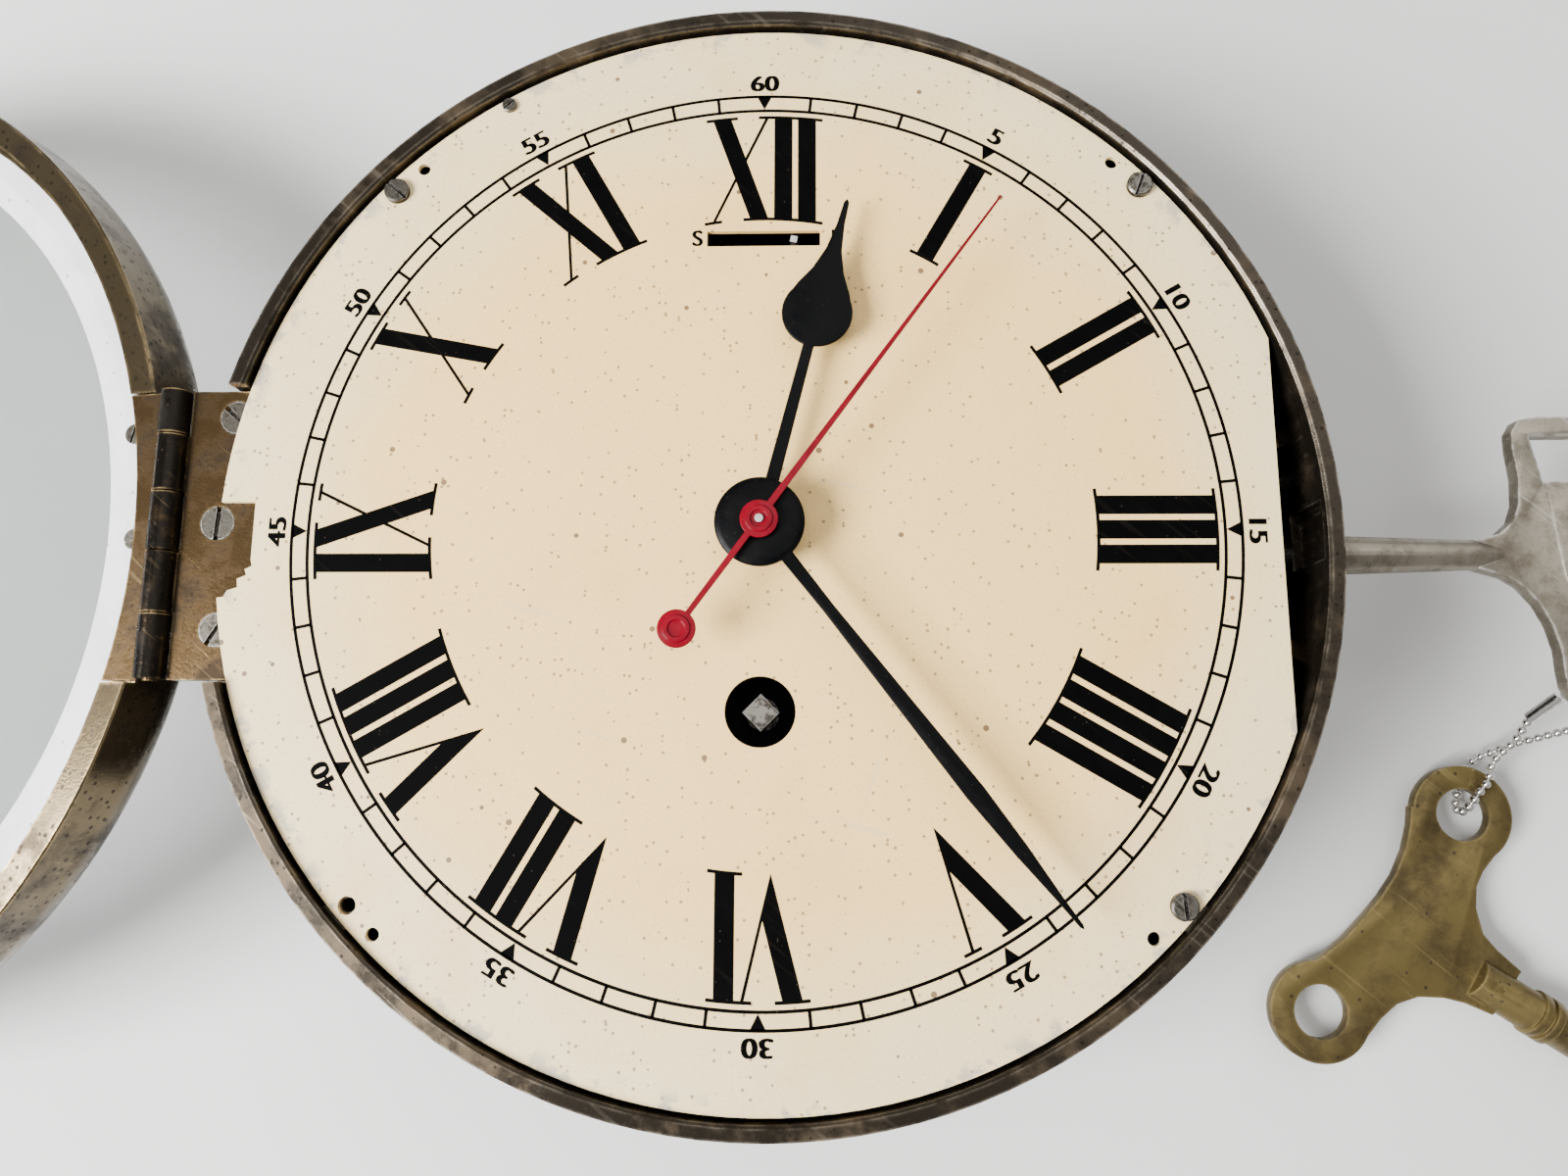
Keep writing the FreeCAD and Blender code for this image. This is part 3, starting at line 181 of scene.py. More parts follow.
# colours and amounts for each surface; wear is the reach of the worn edges in metres
finishes = {
    "case brass": dict(
        base=(0.030, 0.024, 0.017), stain=(0.075, 0.055, 0.034), worn=(0.36, 0.31, 0.24),
        metallic=0.85, rough=(0.26, 0.52), mottle=(70, 0.45, 0.66), wear=0.0007, wearMix=0.75,
        spot=(0.010, 0.008, 0.006), spots=(900, 0.30, 0.22), scratch=0.16, bump=0.05),
    "bezel brass": dict(
        base=(0.105, 0.080, 0.044), stain=(0.030, 0.022, 0.014), worn=(0.55, 0.40, 0.20),
        metallic=0.92, rough=(0.20, 0.44), mottle=(55, 0.44, 0.64), wear=0.0011, wearMix=0.9,
        spot=(0.016, 0.012, 0.008), spots=(800, 0.34, 0.30), scratch=0.10, bump=0.06),
    "hinge brass": dict(
        base=(0.088, 0.054, 0.023), stain=(0.026, 0.017, 0.009), worn=(0.62, 0.44, 0.20),
        metallic=0.9, rough=(0.24, 0.5), mottle=(90, 0.42, 0.62), wear=0.0006, wearMix=0.7,
        spot=(0.022, 0.014, 0.008), spots=(1100, 0.3, 0.3), scratch=0.08, bump=0.08),
    "movement brass": dict(
        base=(0.62, 0.45, 0.20), stain=(0.44, 0.30, 0.12), worn=(0.80, 0.64, 0.34), metallic=1.0,
        rough=(0.2, 0.34), mottle=(60, 0.4, 0.7), wear=0.0003, wearMix=0.4, spot=(0.3, 0.2, 0.09),
        spots=(900, 0.2, 0.06), scratch=0.2, bump=0.02),
    "silvered ring": dict(
        base=(0.70, 0.70, 0.73), stain=(0.60, 0.60, 0.62), worn=(0.50, 0.48, 0.46), metallic=0.0,
        rough=(0.5, 0.62), mottle=(80, 0.4, 0.7), wear=0.0004, wearMix=0.3, spot=(0.30, 0.27, 0.24),
        spots=(420, 0.16, 0.12), scratch=0.12, bump=0.03),
    "screw steel": dict(
        base=(0.135, 0.125, 0.105), stain=(0.035, 0.030, 0.023), worn=(0.5, 0.48, 0.45),
        metallic=0.95, rough=(0.28, 0.5), mottle=(620, 0.42, 0.62), wear=0.0003, wearMix=0.8,
        spot=(0.09, 0.07, 0.05), spots=(2600, 0.34, 0.3), scratch=0.2, bump=0.09),
    "movement steel": dict(
        base=(0.52, 0.51, 0.49), stain=(0.36, 0.34, 0.32), worn=(0.8, 0.79, 0.76), metallic=1.0,
        rough=(0.2, 0.36), mottle=(300, 0.4, 0.7), wear=0.0003, wearMix=0.5, spot=(0.2, 0.17, 0.13),
        spots=(1500, 0.25, 0.12), scratch=0.3, bump=0.03),
    "winding arbor steel": dict(
        base=(0.19, 0.178, 0.155), stain=(0.045, 0.040, 0.033), worn=(0.6, 0.58, 0.54),
        metallic=0.9, rough=(0.3, 0.5), mottle=(520, 0.44, 0.58), wear=0.0003, wearMix=0.5,
        spot=(0.03, 0.025, 0.02), spots=(1900, 0.3, 0.25), scratch=0.2, bump=0.08),
    "spring steel": dict(
        base=(0.07, 0.10, 0.22), stain=(0.05, 0.06, 0.13), worn=(0.3, 0.33, 0.42), metallic=1.0,
        rough=(0.2, 0.32), mottle=(120, 0.4, 0.7), wear=0.0003, wearMix=0.5,
        spot=(0.04, 0.04, 0.06), spots=(900, 0.2, 0.08), scratch=0.15, bump=0.02),
    "lock key steel": dict(
        base=(0.25, 0.222, 0.175), stain=(0.14, 0.120, 0.090), worn=(0.72, 0.70, 0.66),
        metallic=0.85, rough=(0.34, 0.5), mottle=(150, 0.4, 0.66), wear=0.0011, wearMix=0.85,
        spot=(0.13, 0.11, 0.09), spots=(1500, 0.24, 0.20), scratch=0.22, bump=0.10),
    "key brass": dict(
        base=(0.135, 0.100, 0.034), stain=(0.058, 0.041, 0.015), worn=(0.38, 0.29, 0.12),
        metallic=0.72, rough=(0.36, 0.54), mottle=(70, 0.38, 0.64), wear=0.0011, wearMix=0.55,
        spot=(0.03, 0.022, 0.012), spots=(560, 0.22, 0.14), scratch=0.18, bump=0.09),
    "chain nickel": dict(
        base=(0.72, 0.71, 0.69), stain=(0.50, 0.48, 0.45), worn=(0.9, 0.9, 0.89), metallic=1.0,
        rough=(0.14, 0.26), mottle=(700, 0.45, 0.7), wear=0.0002, wearMix=0.3,
        spot=(0.2, 0.18, 0.15), spots=(2600, 0.24, 0.1), scratch=0.1, bump=0.03),
    "hand black": dict(
        base=(0.0008, 0.0009, 0.0012), stain=(0.0018, 0.0018, 0.0018), worn=(0.016, 0.014, 0.012),
        metallic=0.0, rough=(0.34, 0.5), mottle=(160, 0.4, 0.7), wear=0.0003, wearMix=0.3,
        spot=(0.01, 0.01, 0.01), spots=(1400, 0.2, 0.1), scratch=0.08, bump=0.03, specular=0.07),
    "dial ink": dict(
        base=(0.0008, 0.0008, 0.0008), stain=(0.0014, 0.0014, 0.0014), worn=(0.02, 0.016, 0.012),
        metallic=0.0, rough=(0.6, 0.7), mottle=(190, 0.4, 0.7), wear=0.00002, wearMix=0.05,
        spot=(0.05, 0.04, 0.028), spots=(1500, 0.16, 0.06), scratch=0.16, bump=0.02, specular=0.02),
    # blackened steel is near black so the parts seen down the winding hole read as the shade inside it:
    # painted shade
    "blackened steel": dict(
        base=(0.0035, 0.0035, 0.0035), stain=(0.008, 0.007, 0.006), worn=(0.05, 0.05, 0.05),
        metallic=0.0, rough=(0.6, 0.75), mottle=(160, 0.4, 0.7), wear=0.0002, wearMix=0.1,
        spot=(0.02, 0.02, 0.02), spots=(1400, 0.2, 0.1), scratch=0.05, bump=0.03, specular=0.06),
    "hand red": dict(
        base=(0.150, 0.0002, 0.0075), stain=(0.105, 0.0002, 0.0055), worn=(0.26, 0.004, 0.02),
        metallic=0.0, rough=(0.2, 0.32), mottle=(260, 0.4, 0.7), wear=0.0003, wearMix=0.5,
        spot=(0.2, 0.006, 0.016), spots=(1700, 0.2, 0.12), scratch=0.1, bump=0.02, specular=0.12),
}


def mixColour(tree, mask, first, second):
    node = add(tree, "ShaderNodeMix", data_type="RGBA")
    if isinstance(mask, (int, float)):
        node.inputs[0].default_value = mask
    else:
        tree.links.new(mask, node.inputs[0])
    for socket, value in ((node.inputs[6], first), (node.inputs[7], second)):
        if isinstance(value, tuple):
            socket.default_value = (*value, 1.0)
        else:
            tree.links.new(value, socket)
    return node.outputs[2]


def useGroup(tree, group, **values):
    node = add(tree, "ShaderNodeGroup", node_tree=group)
    for key, value in values.items():
        node.inputs[key].default_value = value
    return node.outputs["Mask"]


def startMaterial(name):
    material = bpy.data.materials.new(name)
    material.use_nodes = True
    tree = material.node_tree
    return material, tree, tree.nodes["Principled BSDF"]


def bumped(tree, shader, height, strength, distance):
    bump = add(tree, "ShaderNodeBump")
    bump.inputs["Strength"].default_value = strength
    bump.inputs["Distance"].default_value = distance
    tree.links.new(height, bump.inputs["Height"])
    tree.links.new(bump.outputs["Normal"], shader.inputs["Normal"])


# paintedShade is the near-black colour of the painted shade bands
surface = dict(breakup=2.5, scratchTurn=0.7, scratchFineness=900.0, scratchCutoff=0.62,
               paintedShade=(0.010, 0.008, 0.006), dotStrength=0.8, dotRoughness=0.15, dotDepth=0.8, scratchDepth=0.4,
               grainScale=1600.0, grainDetail=3.0, bumpDistance=0.0004, specular=0.5)


def makeFinish(name, look, paintedShadeBand=None):
    # patina, dirt, scratches, dots and worn edges over one metal or paint, and an optional band of painted
    # shade
    material, tree, shader = startMaterial(name)
    cloudScale, cloudLow, cloudHigh = look["mottle"]
    dotScale, dotSize, dotShare = look["spots"]
    cloud = useGroup(tree, mottle, Scale=cloudScale, Low=cloudLow, High=cloudHigh)
    edges = useGroup(tree, edgeWear, Radius=look["wear"], Breakup=cloudScale * surface["breakup"])
    dots = useGroup(tree, speckle, Scale=dotScale, Size=dotSize, Share=dotShare)
    marks = useGroup(tree, scratches, Turn=surface["scratchTurn"], Fineness=surface["scratchFineness"],
                     Cutoff=surface["scratchCutoff"])
    colour = mixColour(tree, cloud, look["base"], look["stain"])
    # the optional band mixes in the painted shade colour
    if paintedShadeBand:
        colour = mixColour(tree, paintedShadeBand(tree), colour, surface["paintedShade"])
    colour = mixColour(tree, math2(tree, "MULTIPLY", marks, look["scratch"]), colour, look["worn"])
    colour = mixColour(tree, math2(tree, "MULTIPLY", dots, surface["dotStrength"]), colour, look["spot"])
    colour = mixColour(tree, math2(tree, "MULTIPLY", edges, look["wearMix"]), colour, look["worn"])
    tree.links.new(colour, shader.inputs["Base Color"])
    low, high = look["rough"]
    rough = math2(tree, "ADD", math2(tree, "MULTIPLY", cloud, high - low), low)
    rough = math2(tree, "ADD", rough, math2(tree, "MULTIPLY", dots, surface["dotRoughness"]), clamp=True)
    tree.links.new(rough, shader.inputs["Roughness"])
    shader.inputs["Metallic"].default_value = look["metallic"]
    shader.inputs["Specular IOR Level"].default_value = look.get("specular", surface["specular"])
    place = add(tree, "ShaderNodeTexCoord")
    grain = noise(tree, place.outputs["Object"], surface["grainScale"], surface["grainDetail"])
    height = math2(tree, "SUBTRACT", grain, math2(tree, "MULTIPLY", dots, surface["dotDepth"]))
    height = math2(tree, "SUBTRACT", height, math2(tree, "MULTIPLY", marks, surface["scratchDepth"]))
    bumped(tree, shader, height, look["bump"], surface["bumpDistance"])
    return material


# x limits of the painted shade strips on the hinge leaves, in millimetres, and the noise that breaks them up
hinge = dict(bandLeft=-115.4, bandRight=-108.7, caseBandLeft=-113.9, leftFade=0.5, rightFadeIn=-1.2,
             rightFadeOut=1.0, wobble=0.6, wobbleScale=260.0, wobbleDetail=4.0, patchScale=130.0,
             patchDetail=5.0, patchLow=0.16, patchHigh=0.5)
# heights in millimetres where the painted shade is full and where it is gone
windingArbor = dict(shadeFull=49.2, shadeGone=52.0)
dialScrew = dict(shadeFull=60.7, shadeGone=61.0)


def objectPlace(tree):
    place = add(tree, "ShaderNodeTexCoord")
    axes = add(tree, "ShaderNodeSeparateXYZ")
    tree.links.new(place.outputs["Object"], axes.inputs["Vector"])
    return place.outputs["Object"], axes.outputs


def darkStrip(tree, left, right):
    # painted shade: the shaded side of the hinge knuckles and the corner beside them darkened to near black,
    # broken up in patches
    place, axes = objectPlace(tree)
    wobble = noise(tree, place, hinge["wobbleScale"], hinge["wobbleDetail"])
    x = math2(tree, "ADD", axes["X"], math2(tree, "MULTIPLY", wobble, hinge["wobble"] * mm))
    afterLeft = ramp(tree, x, left * mm, (left + hinge["leftFade"]) * mm)
    fade = ramp(tree, x, (right + hinge["rightFadeIn"]) * mm, (right + hinge["rightFadeOut"]) * mm)
    beforeRight = math2(tree, "SUBTRACT", 1.0, fade)
    patch = noise(tree, place, hinge["patchScale"], hinge["patchDetail"])
    patch = ramp(tree, patch, hinge["patchLow"], hinge["patchHigh"])
    return math2(tree, "MULTIPLY", math2(tree, "MULTIPLY", afterLeft, beforeRight), patch)


def bezelLeafBand(tree):
    return darkStrip(tree, hinge["bandLeft"], hinge["bandRight"])


# the case leaf's strip starts further right, so the left side of its knuckles, facing the key light, stays
# lighter: a painted highlight
def caseLeafBand(tree):
    return darkStrip(tree, hinge["caseBandLeft"], hinge["bandRight"])


# painted shade: darker below a given height
def dirtBelow(tree, heights):
    axes = objectPlace(tree)[1]
    clean = ramp(tree, axes["Z"], heights["shadeFull"] * mm, heights["shadeGone"] * mm)
    return math2(tree, "SUBTRACT", 1.0, clean)


def arborBand(tree):
    # painted shade inside the winding hole: the arbor darkens below its square
    return dirtBelow(tree, windingArbor)


def slotBand(tree):
    # painted shade in the slots: darker below the tops of the screw heads
    return dirtBelow(tree, dialScrew)


materials = {name: makeFinish(name, look) for name, look in finishes.items()}
materials["dial screw steel"] = makeFinish("dial screw steel", finishes["screw steel"], slotBand)
materials["winding arbor steel"] = makeFinish("winding arbor steel", finishes["winding arbor steel"],
                                              arborBand)
materials["bezel leaf brass"] = makeFinish("bezel leaf brass", finishes["hinge brass"], bezelLeafBand)
materials["case leaf brass"] = makeFinish("case leaf brass", finishes["hinge brass"], caseLeafBand)
finishOf = {"barrel_arbor": "winding arbor steel", "dial_screws": "dial screw steel",
            "hinge_bezel_leaf": "bezel leaf brass", "hinge_case_leaf": "case leaf brass"}


# dial paint: colours from the middle outwards, then dirt; lengths in metres
dialLook = dict(middle=(0.850, 0.560, 0.195), edge=(0.760, 0.610, 0.330), stain=(0.700, 0.410, 0.130),
                speck=(0.10, 0.05, 0.02), chip=(0.34, 0.31, 0.26), grain=(0.50, 0.35, 0.16),
                line=(0.55, 0.46, 0.33), edgeStart=0.082, edgeEnd=0.113, wanderScale=22.0, wanderDetail=3.0,
                wander=0.030, cloudScale=26.0, cloudLow=0.46, cloudHigh=0.76, cloudShare=0.42,
                grainScale=1500.0, grainDetail=2.0, grainRoughness=0.7, grainLow=0.52, grainHigh=0.78,
                grainShare=0.55, fineDotShare=0.7, bigDotShare=0.9, lineShare=0.3, rimStart=0.0975,
                rimEnd=0.1005, chipScale=150.0, chipDetail=5.0, chipLow=0.52, chipHigh=0.58, chipShare=0.7,
                rough=0.44, roughSpread=0.2, bump=0.10, bumpDistance=0.00025)
dialDots = dict(fine=dict(Scale=800.0, Size=0.24, Share=0.20), big=dict(Scale=200.0, Size=0.11, Share=0.16))
dialLines = dict(along=dict(Turn=0.25, Fineness=620.0, Cutoff=0.66),
                 crossing=dict(Turn=1.9, Fineness=700.0, Cutoff=0.68))


def dialRadius(tree, axes):
    parts = [math2(tree, "POWER", math2(tree, "ABSOLUTE", axes[axis]), 2.0) for axis in ("X", "Y")]
    return math2(tree, "SQRT", math2(tree, "ADD", *parts))


def makeDialPaint(look):
    material, tree, shader = startMaterial("dial paint")
    place, axes = objectPlace(tree)
    radius = dialRadius(tree, axes)
    wander = noise(tree, place, look["wanderScale"], look["wanderDetail"])
    wander = math2(tree, "MULTIPLY", wander, look["wander"])
    ring = ramp(tree, math2(tree, "ADD", radius, wander), look["edgeStart"], look["edgeEnd"])
    colour = mixColour(tree, ring, look["middle"], look["edge"])
    clouds = useGroup(tree, mottle, Scale=look["cloudScale"], Low=look["cloudLow"], High=look["cloudHigh"])
    colour = mixColour(tree, math2(tree, "MULTIPLY", clouds, look["cloudShare"]), colour, look["stain"])
    grain = noise(tree, place, look["grainScale"], look["grainDetail"], look["grainRoughness"])
    grainMask = ramp(tree, grain, look["grainLow"], look["grainHigh"])
    colour = mixColour(tree, math2(tree, "MULTIPLY", grainMask, look["grainShare"]), colour, look["grain"])
    fine = useGroup(tree, speckle, **dialDots["fine"])
    big = useGroup(tree, speckle, **dialDots["big"])
    dots = math2(tree, "ADD", math2(tree, "MULTIPLY", fine, look["fineDotShare"]),
                 math2(tree, "MULTIPLY", big, look["bigDotShare"]), clamp=True)
    colour = mixColour(tree, dots, colour, look["speck"])
    lines = math2(tree, "MAXIMUM", useGroup(tree, scratches, **dialLines["along"]),
                  useGroup(tree, scratches, **dialLines["crossing"]))
    colour = mixColour(tree, math2(tree, "MULTIPLY", lines, look["lineShare"]), colour, look["line"])
    rim = ramp(tree, radius, look["rimStart"], look["rimEnd"])
    flakes = noise(tree, place, look["chipScale"], look["chipDetail"])
    chips = math2(tree, "MULTIPLY", rim, ramp(tree, flakes, look["chipLow"], look["chipHigh"]))
    colour = mixColour(tree, math2(tree, "MULTIPLY", chips, look["chipShare"]), colour, look["chip"])
    tree.links.new(colour, shader.inputs["Base Color"])
    rough = math2(tree, "ADD", look["rough"], math2(tree, "MULTIPLY", grain, look["roughSpread"]))
    tree.links.new(rough, shader.inputs["Roughness"])
    height = math2(tree, "SUBTRACT", grain, math2(tree, "ADD", lines, chips))
    bumped(tree, shader, height, look["bump"], look["bumpDistance"])
    return material


glassLook = dict(tint=(0.95, 0.985, 0.97), ior=1.46, smearScale=35.0, smearLow=0.5, smearHigh=0.8,
                 smearRoughness=0.012)


def makeGlass(look):
    material, tree, shader = startMaterial("glass")
    shader.inputs["Transmission Weight"].default_value = 1.0
    shader.inputs["IOR"].default_value = look["ior"]
    shader.inputs["Base Color"].default_value = (*look["tint"], 1.0)
    smears = useGroup(tree, mottle, Scale=look["smearScale"], Low=look["smearLow"], High=look["smearHigh"])
    tree.links.new(math2(tree, "MULTIPLY", smears, look["smearRoughness"]), shader.inputs["Roughness"])
    return material


floorLook = dict(size=3.0, pale=(0.62, 0.62, 0.61), dark=(0.56, 0.56, 0.555), cloudScale=9.0, cloudDetail=3.0,
                 cloudShare=0.3, rough=0.8)


def makeFloor(look):
    material, tree, shader = startMaterial("pale table")
    place = add(tree, "ShaderNodeTexCoord")
    cloud = noise(tree, place.outputs["Object"], look["cloudScale"], look["cloudDetail"])
    colour = mixColour(tree, math2(tree, "MULTIPLY", cloud, look["cloudShare"]), look["pale"], look["dark"])
    tree.links.new(colour, shader.inputs["Base Color"])
    shader.inputs["Roughness"].default_value = look["rough"]
    return material


materials["dial paint"] = makeDialPaint(dialLook)
materials["glass"] = makeGlass(glassLook)
print("materials made", len(materials))

for node, obj in nodes.items():
    obj.data.materials.clear()
    obj.data.materials.append(materials[finishOf.get(node, slotOf[node])])


def finishPiece(name, bm, material, body, replaced=(), smooth=None):
    mesh = bpy.data.meshes.new(name)
    bm.to_mesh(mesh)
    bm.free()
    obj = bpy.data.objects.new(name, mesh)
    bpy.context.scene.collection.objects.link(obj)
    obj.data.materials.append(materials[material])
    if smooth is not None:
        for polygon in mesh.polygons:
            polygon.use_smooth = True
        mesh.set_sharp_from_angle(angle=math.radians(smooth))
    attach(obj, body)
    if replaced:
        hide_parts(*replaced)
    return obj


# how far each piece's edges are rounded, in millimetres; mergeGap is in metres, angles are in degrees
roundings = {"hour_hand": 0.18, "minute_hand": 0.16, "seconds_hand": 0.10, "lock_key": 0.7,
             "winding_key": 0.35, "latch_tongue": 0.3}
rounding = dict(mergeGap=0.000002, flatAngle=0.6, sharpAngle=28, smoothAngle=40, segments=2)


def isSharp(edge):
    return len(edge.link_faces) == 2 and edge.calc_face_angle() > math.radians(rounding["sharpAngle"])


def softened(node, width):
    # a copy of the CAD piece with its sharp edges rounded
    bm = bmesh.new()
    bm.from_mesh(nodes[node].data)
    bmesh.ops.remove_doubles(bm, verts=bm.verts, dist=rounding["mergeGap"])
    bmesh.ops.dissolve_limit(bm, angle_limit=math.radians(rounding["flatAngle"]), verts=bm.verts,
                             edges=bm.edges)
    sharp = [edge for edge in bm.edges if isSharp(edge)]
    bmesh.ops.bevel(bm, geom=sharp, offset=width, offset_type="OFFSET", affect="EDGES", profile=0.5,
                    segments=rounding["segments"], material=-1, clamp_overlap=True)
    return finishPiece(node + "_rounded", bm, slotOf[node], bodyOf[node], (node,),
                       rounding["smoothAngle"])


for node, width in roundings.items():
    softened(node, width * mm)
print("rounded pieces made")


# numerals, minute ring and figures, in millimetres from the middle of the dial
dial = dict(topZ=60.0, inkT=0.04, serifTopR=83.1, serifBottomR=61.65, serifT=0.6, serifOverhang=1.35,
            serifSteps=6, thinSerif=1.7, stem=3.5, thin=0.6, gap=1.1, vApexAcross=5.7, vApexDrop=0.15,
            vNotchAcross=7.1, vNotchR=69.4, xThinInset=0.1, xSerifInset=0.3, inkLift=0.01, crossLift=0.02,
            ringOuterR=87.6, ringInnerR=84.55, ringT=0.6, ringSteps=360, tickW=0.6, markerHalf=1.45,
            markerTipR=84.8)
figures = dict(middleR=90.45, height=3.4, weight=0.24, stretch=1.18, capShare=0.72, spacing=1.02,
               passLift=0.006, letterHeight=3.3, letterWeight=0.14, slowX=-12.8, fastX=14.0, letterY=57.75)
letterWidths = {"I": 3.5, "V": 10.9, "X": 11.0}
hourNames = ("XII", "I", "II", "III", "IIII", "V", "VI", "VII", "VIII", "IX", "X", "XI")


def dialPoint(across, out, turn, lift=0.0):
    # across runs clockwise, out runs away from the middle, turn is clockwise from twelve
    x = across * math.cos(turn) + out * math.sin(turn)
    y = out * math.cos(turn) - across * math.sin(turn)
    return (x * mm, y * mm, (dial["topZ"] + lift) * mm)


def inkPatch(bm, corners, turn, lift=0.0):
    bm.faces.new([bm.verts.new(dialPoint(across, out, turn, lift)) for across, out in corners])


def inkArc(bm, radius, width, start, end, steps):
    # a bar along a circle, from a radial edge swept clockwise
    low = bm.verts.new(dialPoint(0, radius - width / 2, start))
    high = bm.verts.new(dialPoint(0, radius + width / 2, start))
    edge = bm.edges.new((low, high))
    full = abs(end - start) > math.radians(359)
    bmesh.ops.spin(bm, geom=[low, high, edge], cent=(0, 0, 0), axis=(0, 0, 1), angle=start - end, steps=steps,
                   use_merge=full)


def joinedSpans(spans):
    merged = []
    for low, high in sorted(spans):
        if merged and low <= merged[-1][1]:
            merged[-1][1] = max(merged[-1][1], high)
        else:
            merged.append([low, high])
    return merged


def serifSpan(middle):
    return (middle - dial["thinSerif"], middle + dial["thinSerif"])


def romanNumeral(bm, text, turn):
    total = sum(letterWidths[letter] for letter in text) + dial["gap"] * (len(text) - 1)
    left = -total / 2
    stem, thin, over = dial["stem"], dial["thin"], dial["serifOverhang"]
    topSpans, bottomSpans = [], []

    def top(across):
        return math.sqrt(dial["serifTopR"] ** 2 - across ** 2)

    def bottom(across):
        return math.sqrt(dial["serifBottomR"] ** 2 - across ** 2)

    def stroke(topLeft, topWidth, bottomLeft, bottomWidth, lift=dial["inkLift"]):
        topRight, bottomRight = topLeft + topWidth, bottomLeft + bottomWidth
        inkPatch(bm, [(topLeft, top(topLeft)), (topRight, top(topRight)),
                      (bottomRight, bottom(bottomRight)), (bottomLeft, bottom(bottomLeft))], turn, lift)

    for letter in text:
        right = left + letterWidths[letter]
        if letter == "I":
            stroke(left, stem, left, stem)
            topSpans.append((left - over, right + over))
            bottomSpans.append((left - over, right + over))
        elif letter == "V":
            apexAcross = left + dial["vApexAcross"]
            apex = (apexAcross, bottom(apexAcross) - dial["vApexDrop"])
            notch = (left + dial["vNotchAcross"], dial["vNotchR"])
            thick = [(left, top(left)), (left + stem, top(left + stem)), notch, apex]
            hairline = [notch, (right - thin, top(right - thin)), (right, top(right)), apex]
            inkPatch(bm, thick, turn, dial["inkLift"])
            inkPatch(bm, hairline, turn, dial["inkLift"])
            topSpans.append((left - over, left + stem + over))
            topSpans.append(serifSpan(right - thin / 2))
        else:
            stroke(left, stem, right - stem, stem)
            stroke(right - thin, thin, left + dial["xThinInset"], thin, dial["crossLift"])
            topSpans.append((left - over, left + stem + over))
            topSpans.append(serifSpan(right - thin / 2))
            bottomSpans.append((right - stem - over, right + over))
            bottomSpans.append(serifSpan(left + dial["xSerifInset"]))
        left = right + dial["gap"]
    for spans, radius in ((topSpans, dial["serifTopR"]), (bottomSpans, dial["serifBottomR"])):
        for low, high in joinedSpans(spans):
            inkArc(bm, radius, dial["serifT"], turn + low / radius, turn + high / radius,
                   dial["serifSteps"])


def inkText(bm, text, height, middle, turn, weight, stretch=1.0):
    curve = bpy.data.curves.new("figure", "FONT")
    curve.body = text
    curve.align_x = "CENTER"
    curve.align_y = "CENTER"
    curve.size = height * mm / figures["capShare"]
    curve.space_character = figures["spacing"]
    holder = bpy.data.objects.new("figure", curve)
    bpy.context.scene.collection.objects.link(holder)
    bpy.context.view_layer.update()
    flat = bpy.data.meshes.new_from_object(holder.evaluated_get(bpy.context.evaluated_depsgraph_get()))
    heights = [vertex.co.y for vertex in flat.vertices]
    middleY = (max(heights) + min(heights)) / 2
    for number, shift in enumerate((-weight, 0.0, weight)):
        # three passes side by side thicken the upright strokes
        spot = ((middle[0] + shift) * mm, middle[1] * mm, (dial["topZ"] + figures["passLift"] * number) * mm)
        place = (Matrix.Rotation(-turn, 4, "Z") @ Matrix.Translation(spot)
                 @ Matrix.Diagonal((stretch, 1, 1, 1)) @ Matrix.Translation((0, -middleY, 0)))
        pressed = flat.copy()
        pressed.transform(place)
        bm.from_mesh(pressed)
        bpy.data.meshes.remove(pressed)
    bpy.data.objects.remove(holder)
    bpy.data.curves.remove(curve)
    bpy.data.meshes.remove(flat)


def dialPrint():
    bm = bmesh.new()
    for hour, text in enumerate(hourNames):
        romanNumeral(bm, text, math.radians(30 * hour))
    for radius in (dial["ringOuterR"], dial["ringInnerR"]):
        inkArc(bm, radius, dial["ringT"], 0.0, 2 * math.pi, dial["ringSteps"])
    for minute in range(60):
        turn = math.radians(6 * minute)
        if minute % 5:
            half = dial["tickW"] / 2
            inkPatch(bm, [(-half, dial["ringInnerR"]), (half, dial["ringInnerR"]), (half, dial["ringOuterR"]),
                          (-half, dial["ringOuterR"])], turn)
            continue
        inkPatch(bm, [(0, dial["markerTipR"]), (dial["markerHalf"], dial["ringOuterR"]),
                      (-dial["markerHalf"], dial["ringOuterR"])], turn)
        inkText(bm, str(minute or 60), figures["height"], (0, figures["middleR"]), turn, figures["weight"],
                figures["stretch"])
    for letter, across in (("S", figures["slowX"]), ("F", figures["fastX"])):
        inkText(bm, letter, figures["letterHeight"], (across, figures["letterY"]), 0.0,
                figures["letterWeight"])
    bmesh.ops.recalc_face_normals(bm, faces=bm.faces)
    for face in bm.faces:
        if face.normal.z < 0:
            face.normal_flip()
    raised = bmesh.ops.extrude_face_region(bm, geom=bm.faces[:])
    lifted = [item for item in raised["geom"] if isinstance(item, bmesh.types.BMVert)]
    bmesh.ops.translate(bm, verts=lifted, vec=(0, 0, dial["inkT"] * mm))
    return finishPiece("dial_print", bm, "dial ink", "case")


dialPrint()
print("dial print made")


# wire links between neighbouring beads, in millimetres
chain = dict(reach=2.7, wireR=0.33, sides=8, smoothAngle=50)


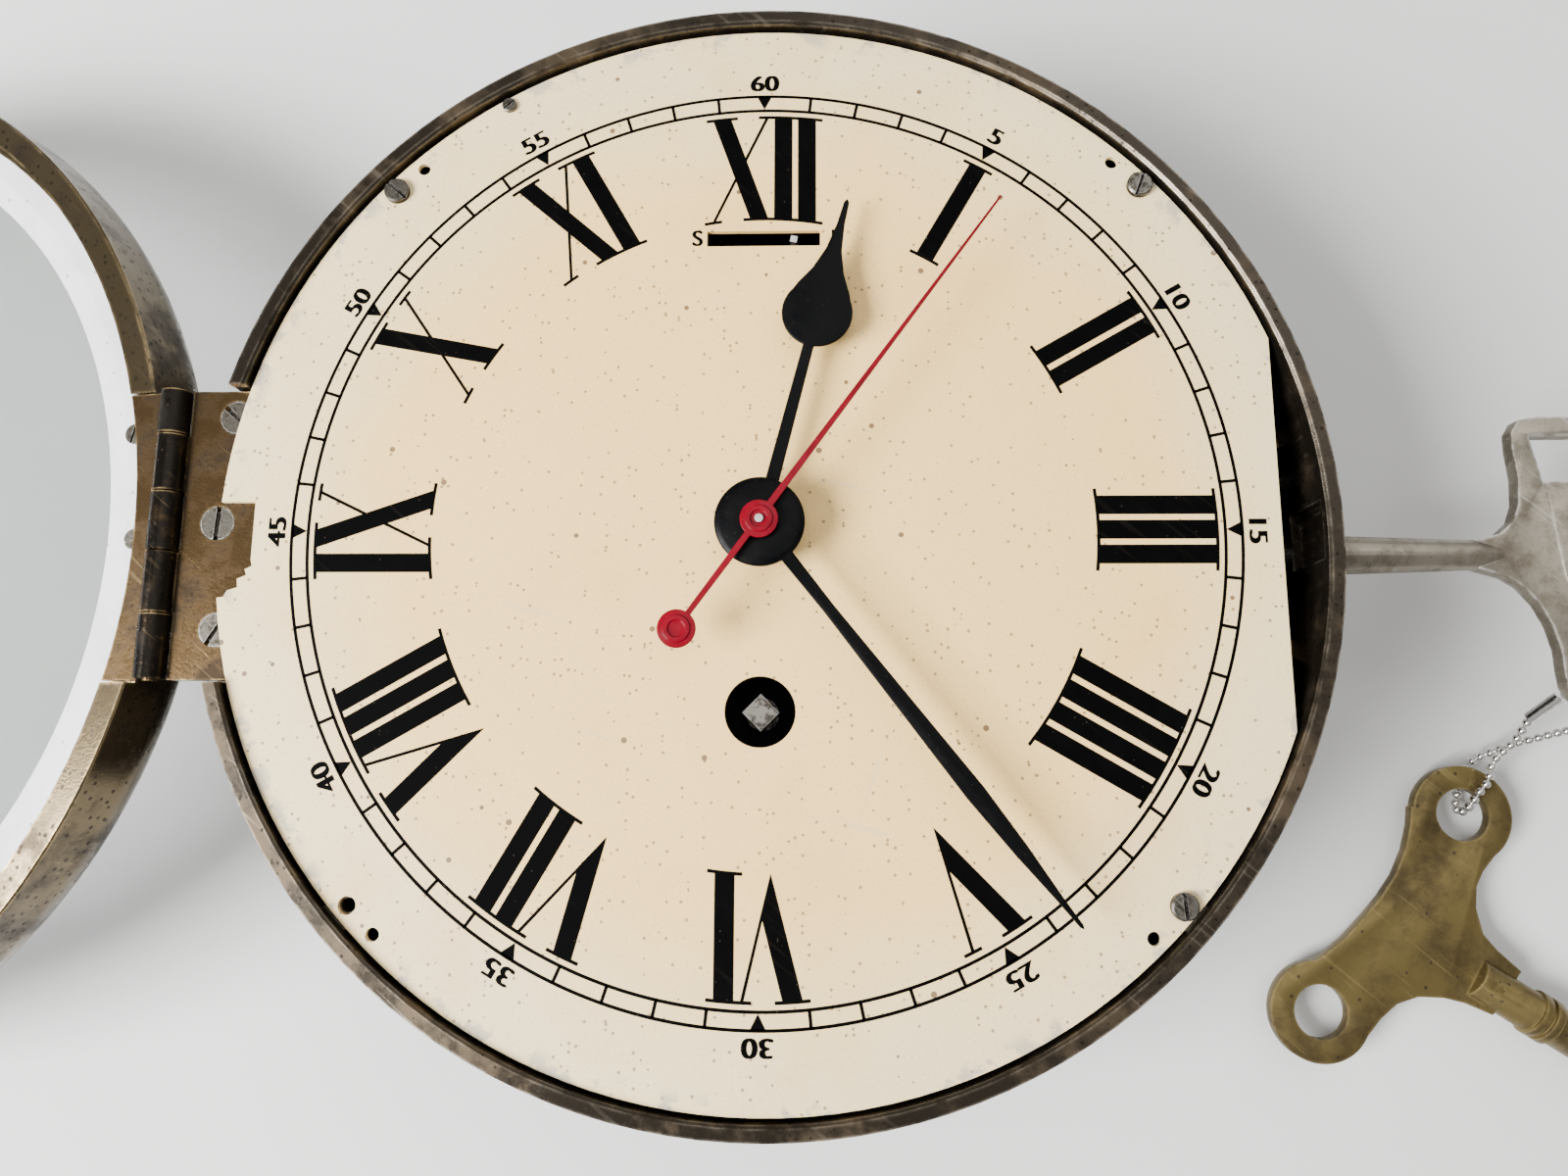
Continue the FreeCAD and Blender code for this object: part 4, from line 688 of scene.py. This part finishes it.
def beadMiddles():
    bm = bmesh.new()
    bm.from_mesh(nodes["bead_chain"].data)
    bmesh.ops.remove_doubles(bm, verts=bm.verts, dist=rounding["mergeGap"])
    left = set(bm.verts)
    middles = []
    while left:
        bead = [left.pop()]
        for vertex in bead:
            for edge in vertex.link_edges:
                other = edge.other_vert(vertex)
                if other in left:
                    left.remove(other)
                    bead.append(other)
        low = Vector([min(v.co[i] for v in bead) for i in range(3)])
        high = Vector([max(v.co[i] for v in bead) for i in range(3)])
        middles.append((low + high) / 2)
    bm.free()
    return sorted(middles, key=lambda point: tuple(round(value, 6) for value in point))


def chainLinks():
    middles = beadMiddles()
    bm = bmesh.new()
    for index, first in enumerate(middles):
        for second in middles[index + 1:]:
            along = second - first
            if along.length > chain["reach"] * mm:
                continue
            direction = along.to_track_quat("Z", "Y").to_matrix().to_4x4()
            place = Matrix.Translation((first + second) / 2) @ direction
            bmesh.ops.create_cone(bm, cap_ends=True, segments=chain["sides"], radius1=chain["wireR"] * mm,
                                  radius2=chain["wireR"] * mm, depth=along.length, matrix=place)
    return finishPiece("chain_links", bm, "chain nickel", "winding_key",
                       smooth=chain["smoothAngle"])


chainLinks()
print("chain links made")


bm = bmesh.new()
bmesh.ops.create_grid(bm, x_segments=1, y_segments=1, size=floorLook["size"] / 2)
floorMesh = bpy.data.meshes.new("floor")
bm.to_mesh(floorMesh)
bm.free()
floorObj = bpy.data.objects.new("floor", floorMesh)
floorObj.data.materials.append(makeFloor(floorLook))
bpy.context.scene.collection.objects.link(floorObj)

lights = {
    "key": dict(place=(-0.75, -0.30, 0.72), aim=(0.0, 0.0, 0.05), size=0.5, power=44.0),
    "fill": dict(place=(0.55, 0.75, 0.85), aim=(0.0, 0.0, 0.05), size=1.1, power=5.0),
    "top": dict(place=(0.05, 0.25, 1.3), aim=(0.0, 0.0, 0.05), size=1.0, power=6.0),
}
for name, look in lights.items():
    lamp = bpy.data.lights.new(name, "AREA")
    lamp.energy = look["power"]
    lamp.size = look["size"]
    lampObj = bpy.data.objects.new(name, lamp)
    bpy.context.scene.collection.objects.link(lampObj)
    lampObj.location = look["place"]
    aim = Vector(look["aim"]) - Vector(look["place"])
    lampObj.rotation_euler = aim.to_track_quat("-Z", "Y").to_euler()

studio = dict(colour=(1.0, 0.985, 0.96), strength=0.5)
world = bpy.data.worlds.new("studio")
world.use_nodes = True
background = world.node_tree.nodes["Background"]
background.inputs["Color"].default_value = (*studio["colour"], 1.0)
background.inputs["Strength"].default_value = studio["strength"]
bpy.context.scene.world = world

# where the camera stands, in metres, and which way it is turned
view = dict(place=(0.00972, -0.0434, 0.25477), right=(0.99961, 0.00393, -0.02760),
            up=(0.0007, 0.9863, 0.1650), ahead=(-0.02787, 0.16492, -0.98591), lens=24.85, sensor=36.0,
            clipStart=0.01)
cameraData = bpy.data.cameras.new("camera")
cameraData.lens = view["lens"]
cameraData.sensor_width = view["sensor"]
cameraData.clip_start = view["clipStart"]
camera = bpy.data.objects.new("camera", cameraData)
bpy.context.scene.collection.objects.link(camera)
back = -Vector(view["ahead"])
turn = Matrix((view["right"], view["up"], back)).transposed()
camera.matrix_world = Matrix.Translation(view["place"]) @ turn.to_4x4()
bpy.context.scene.camera = camera
print("lights and camera set")
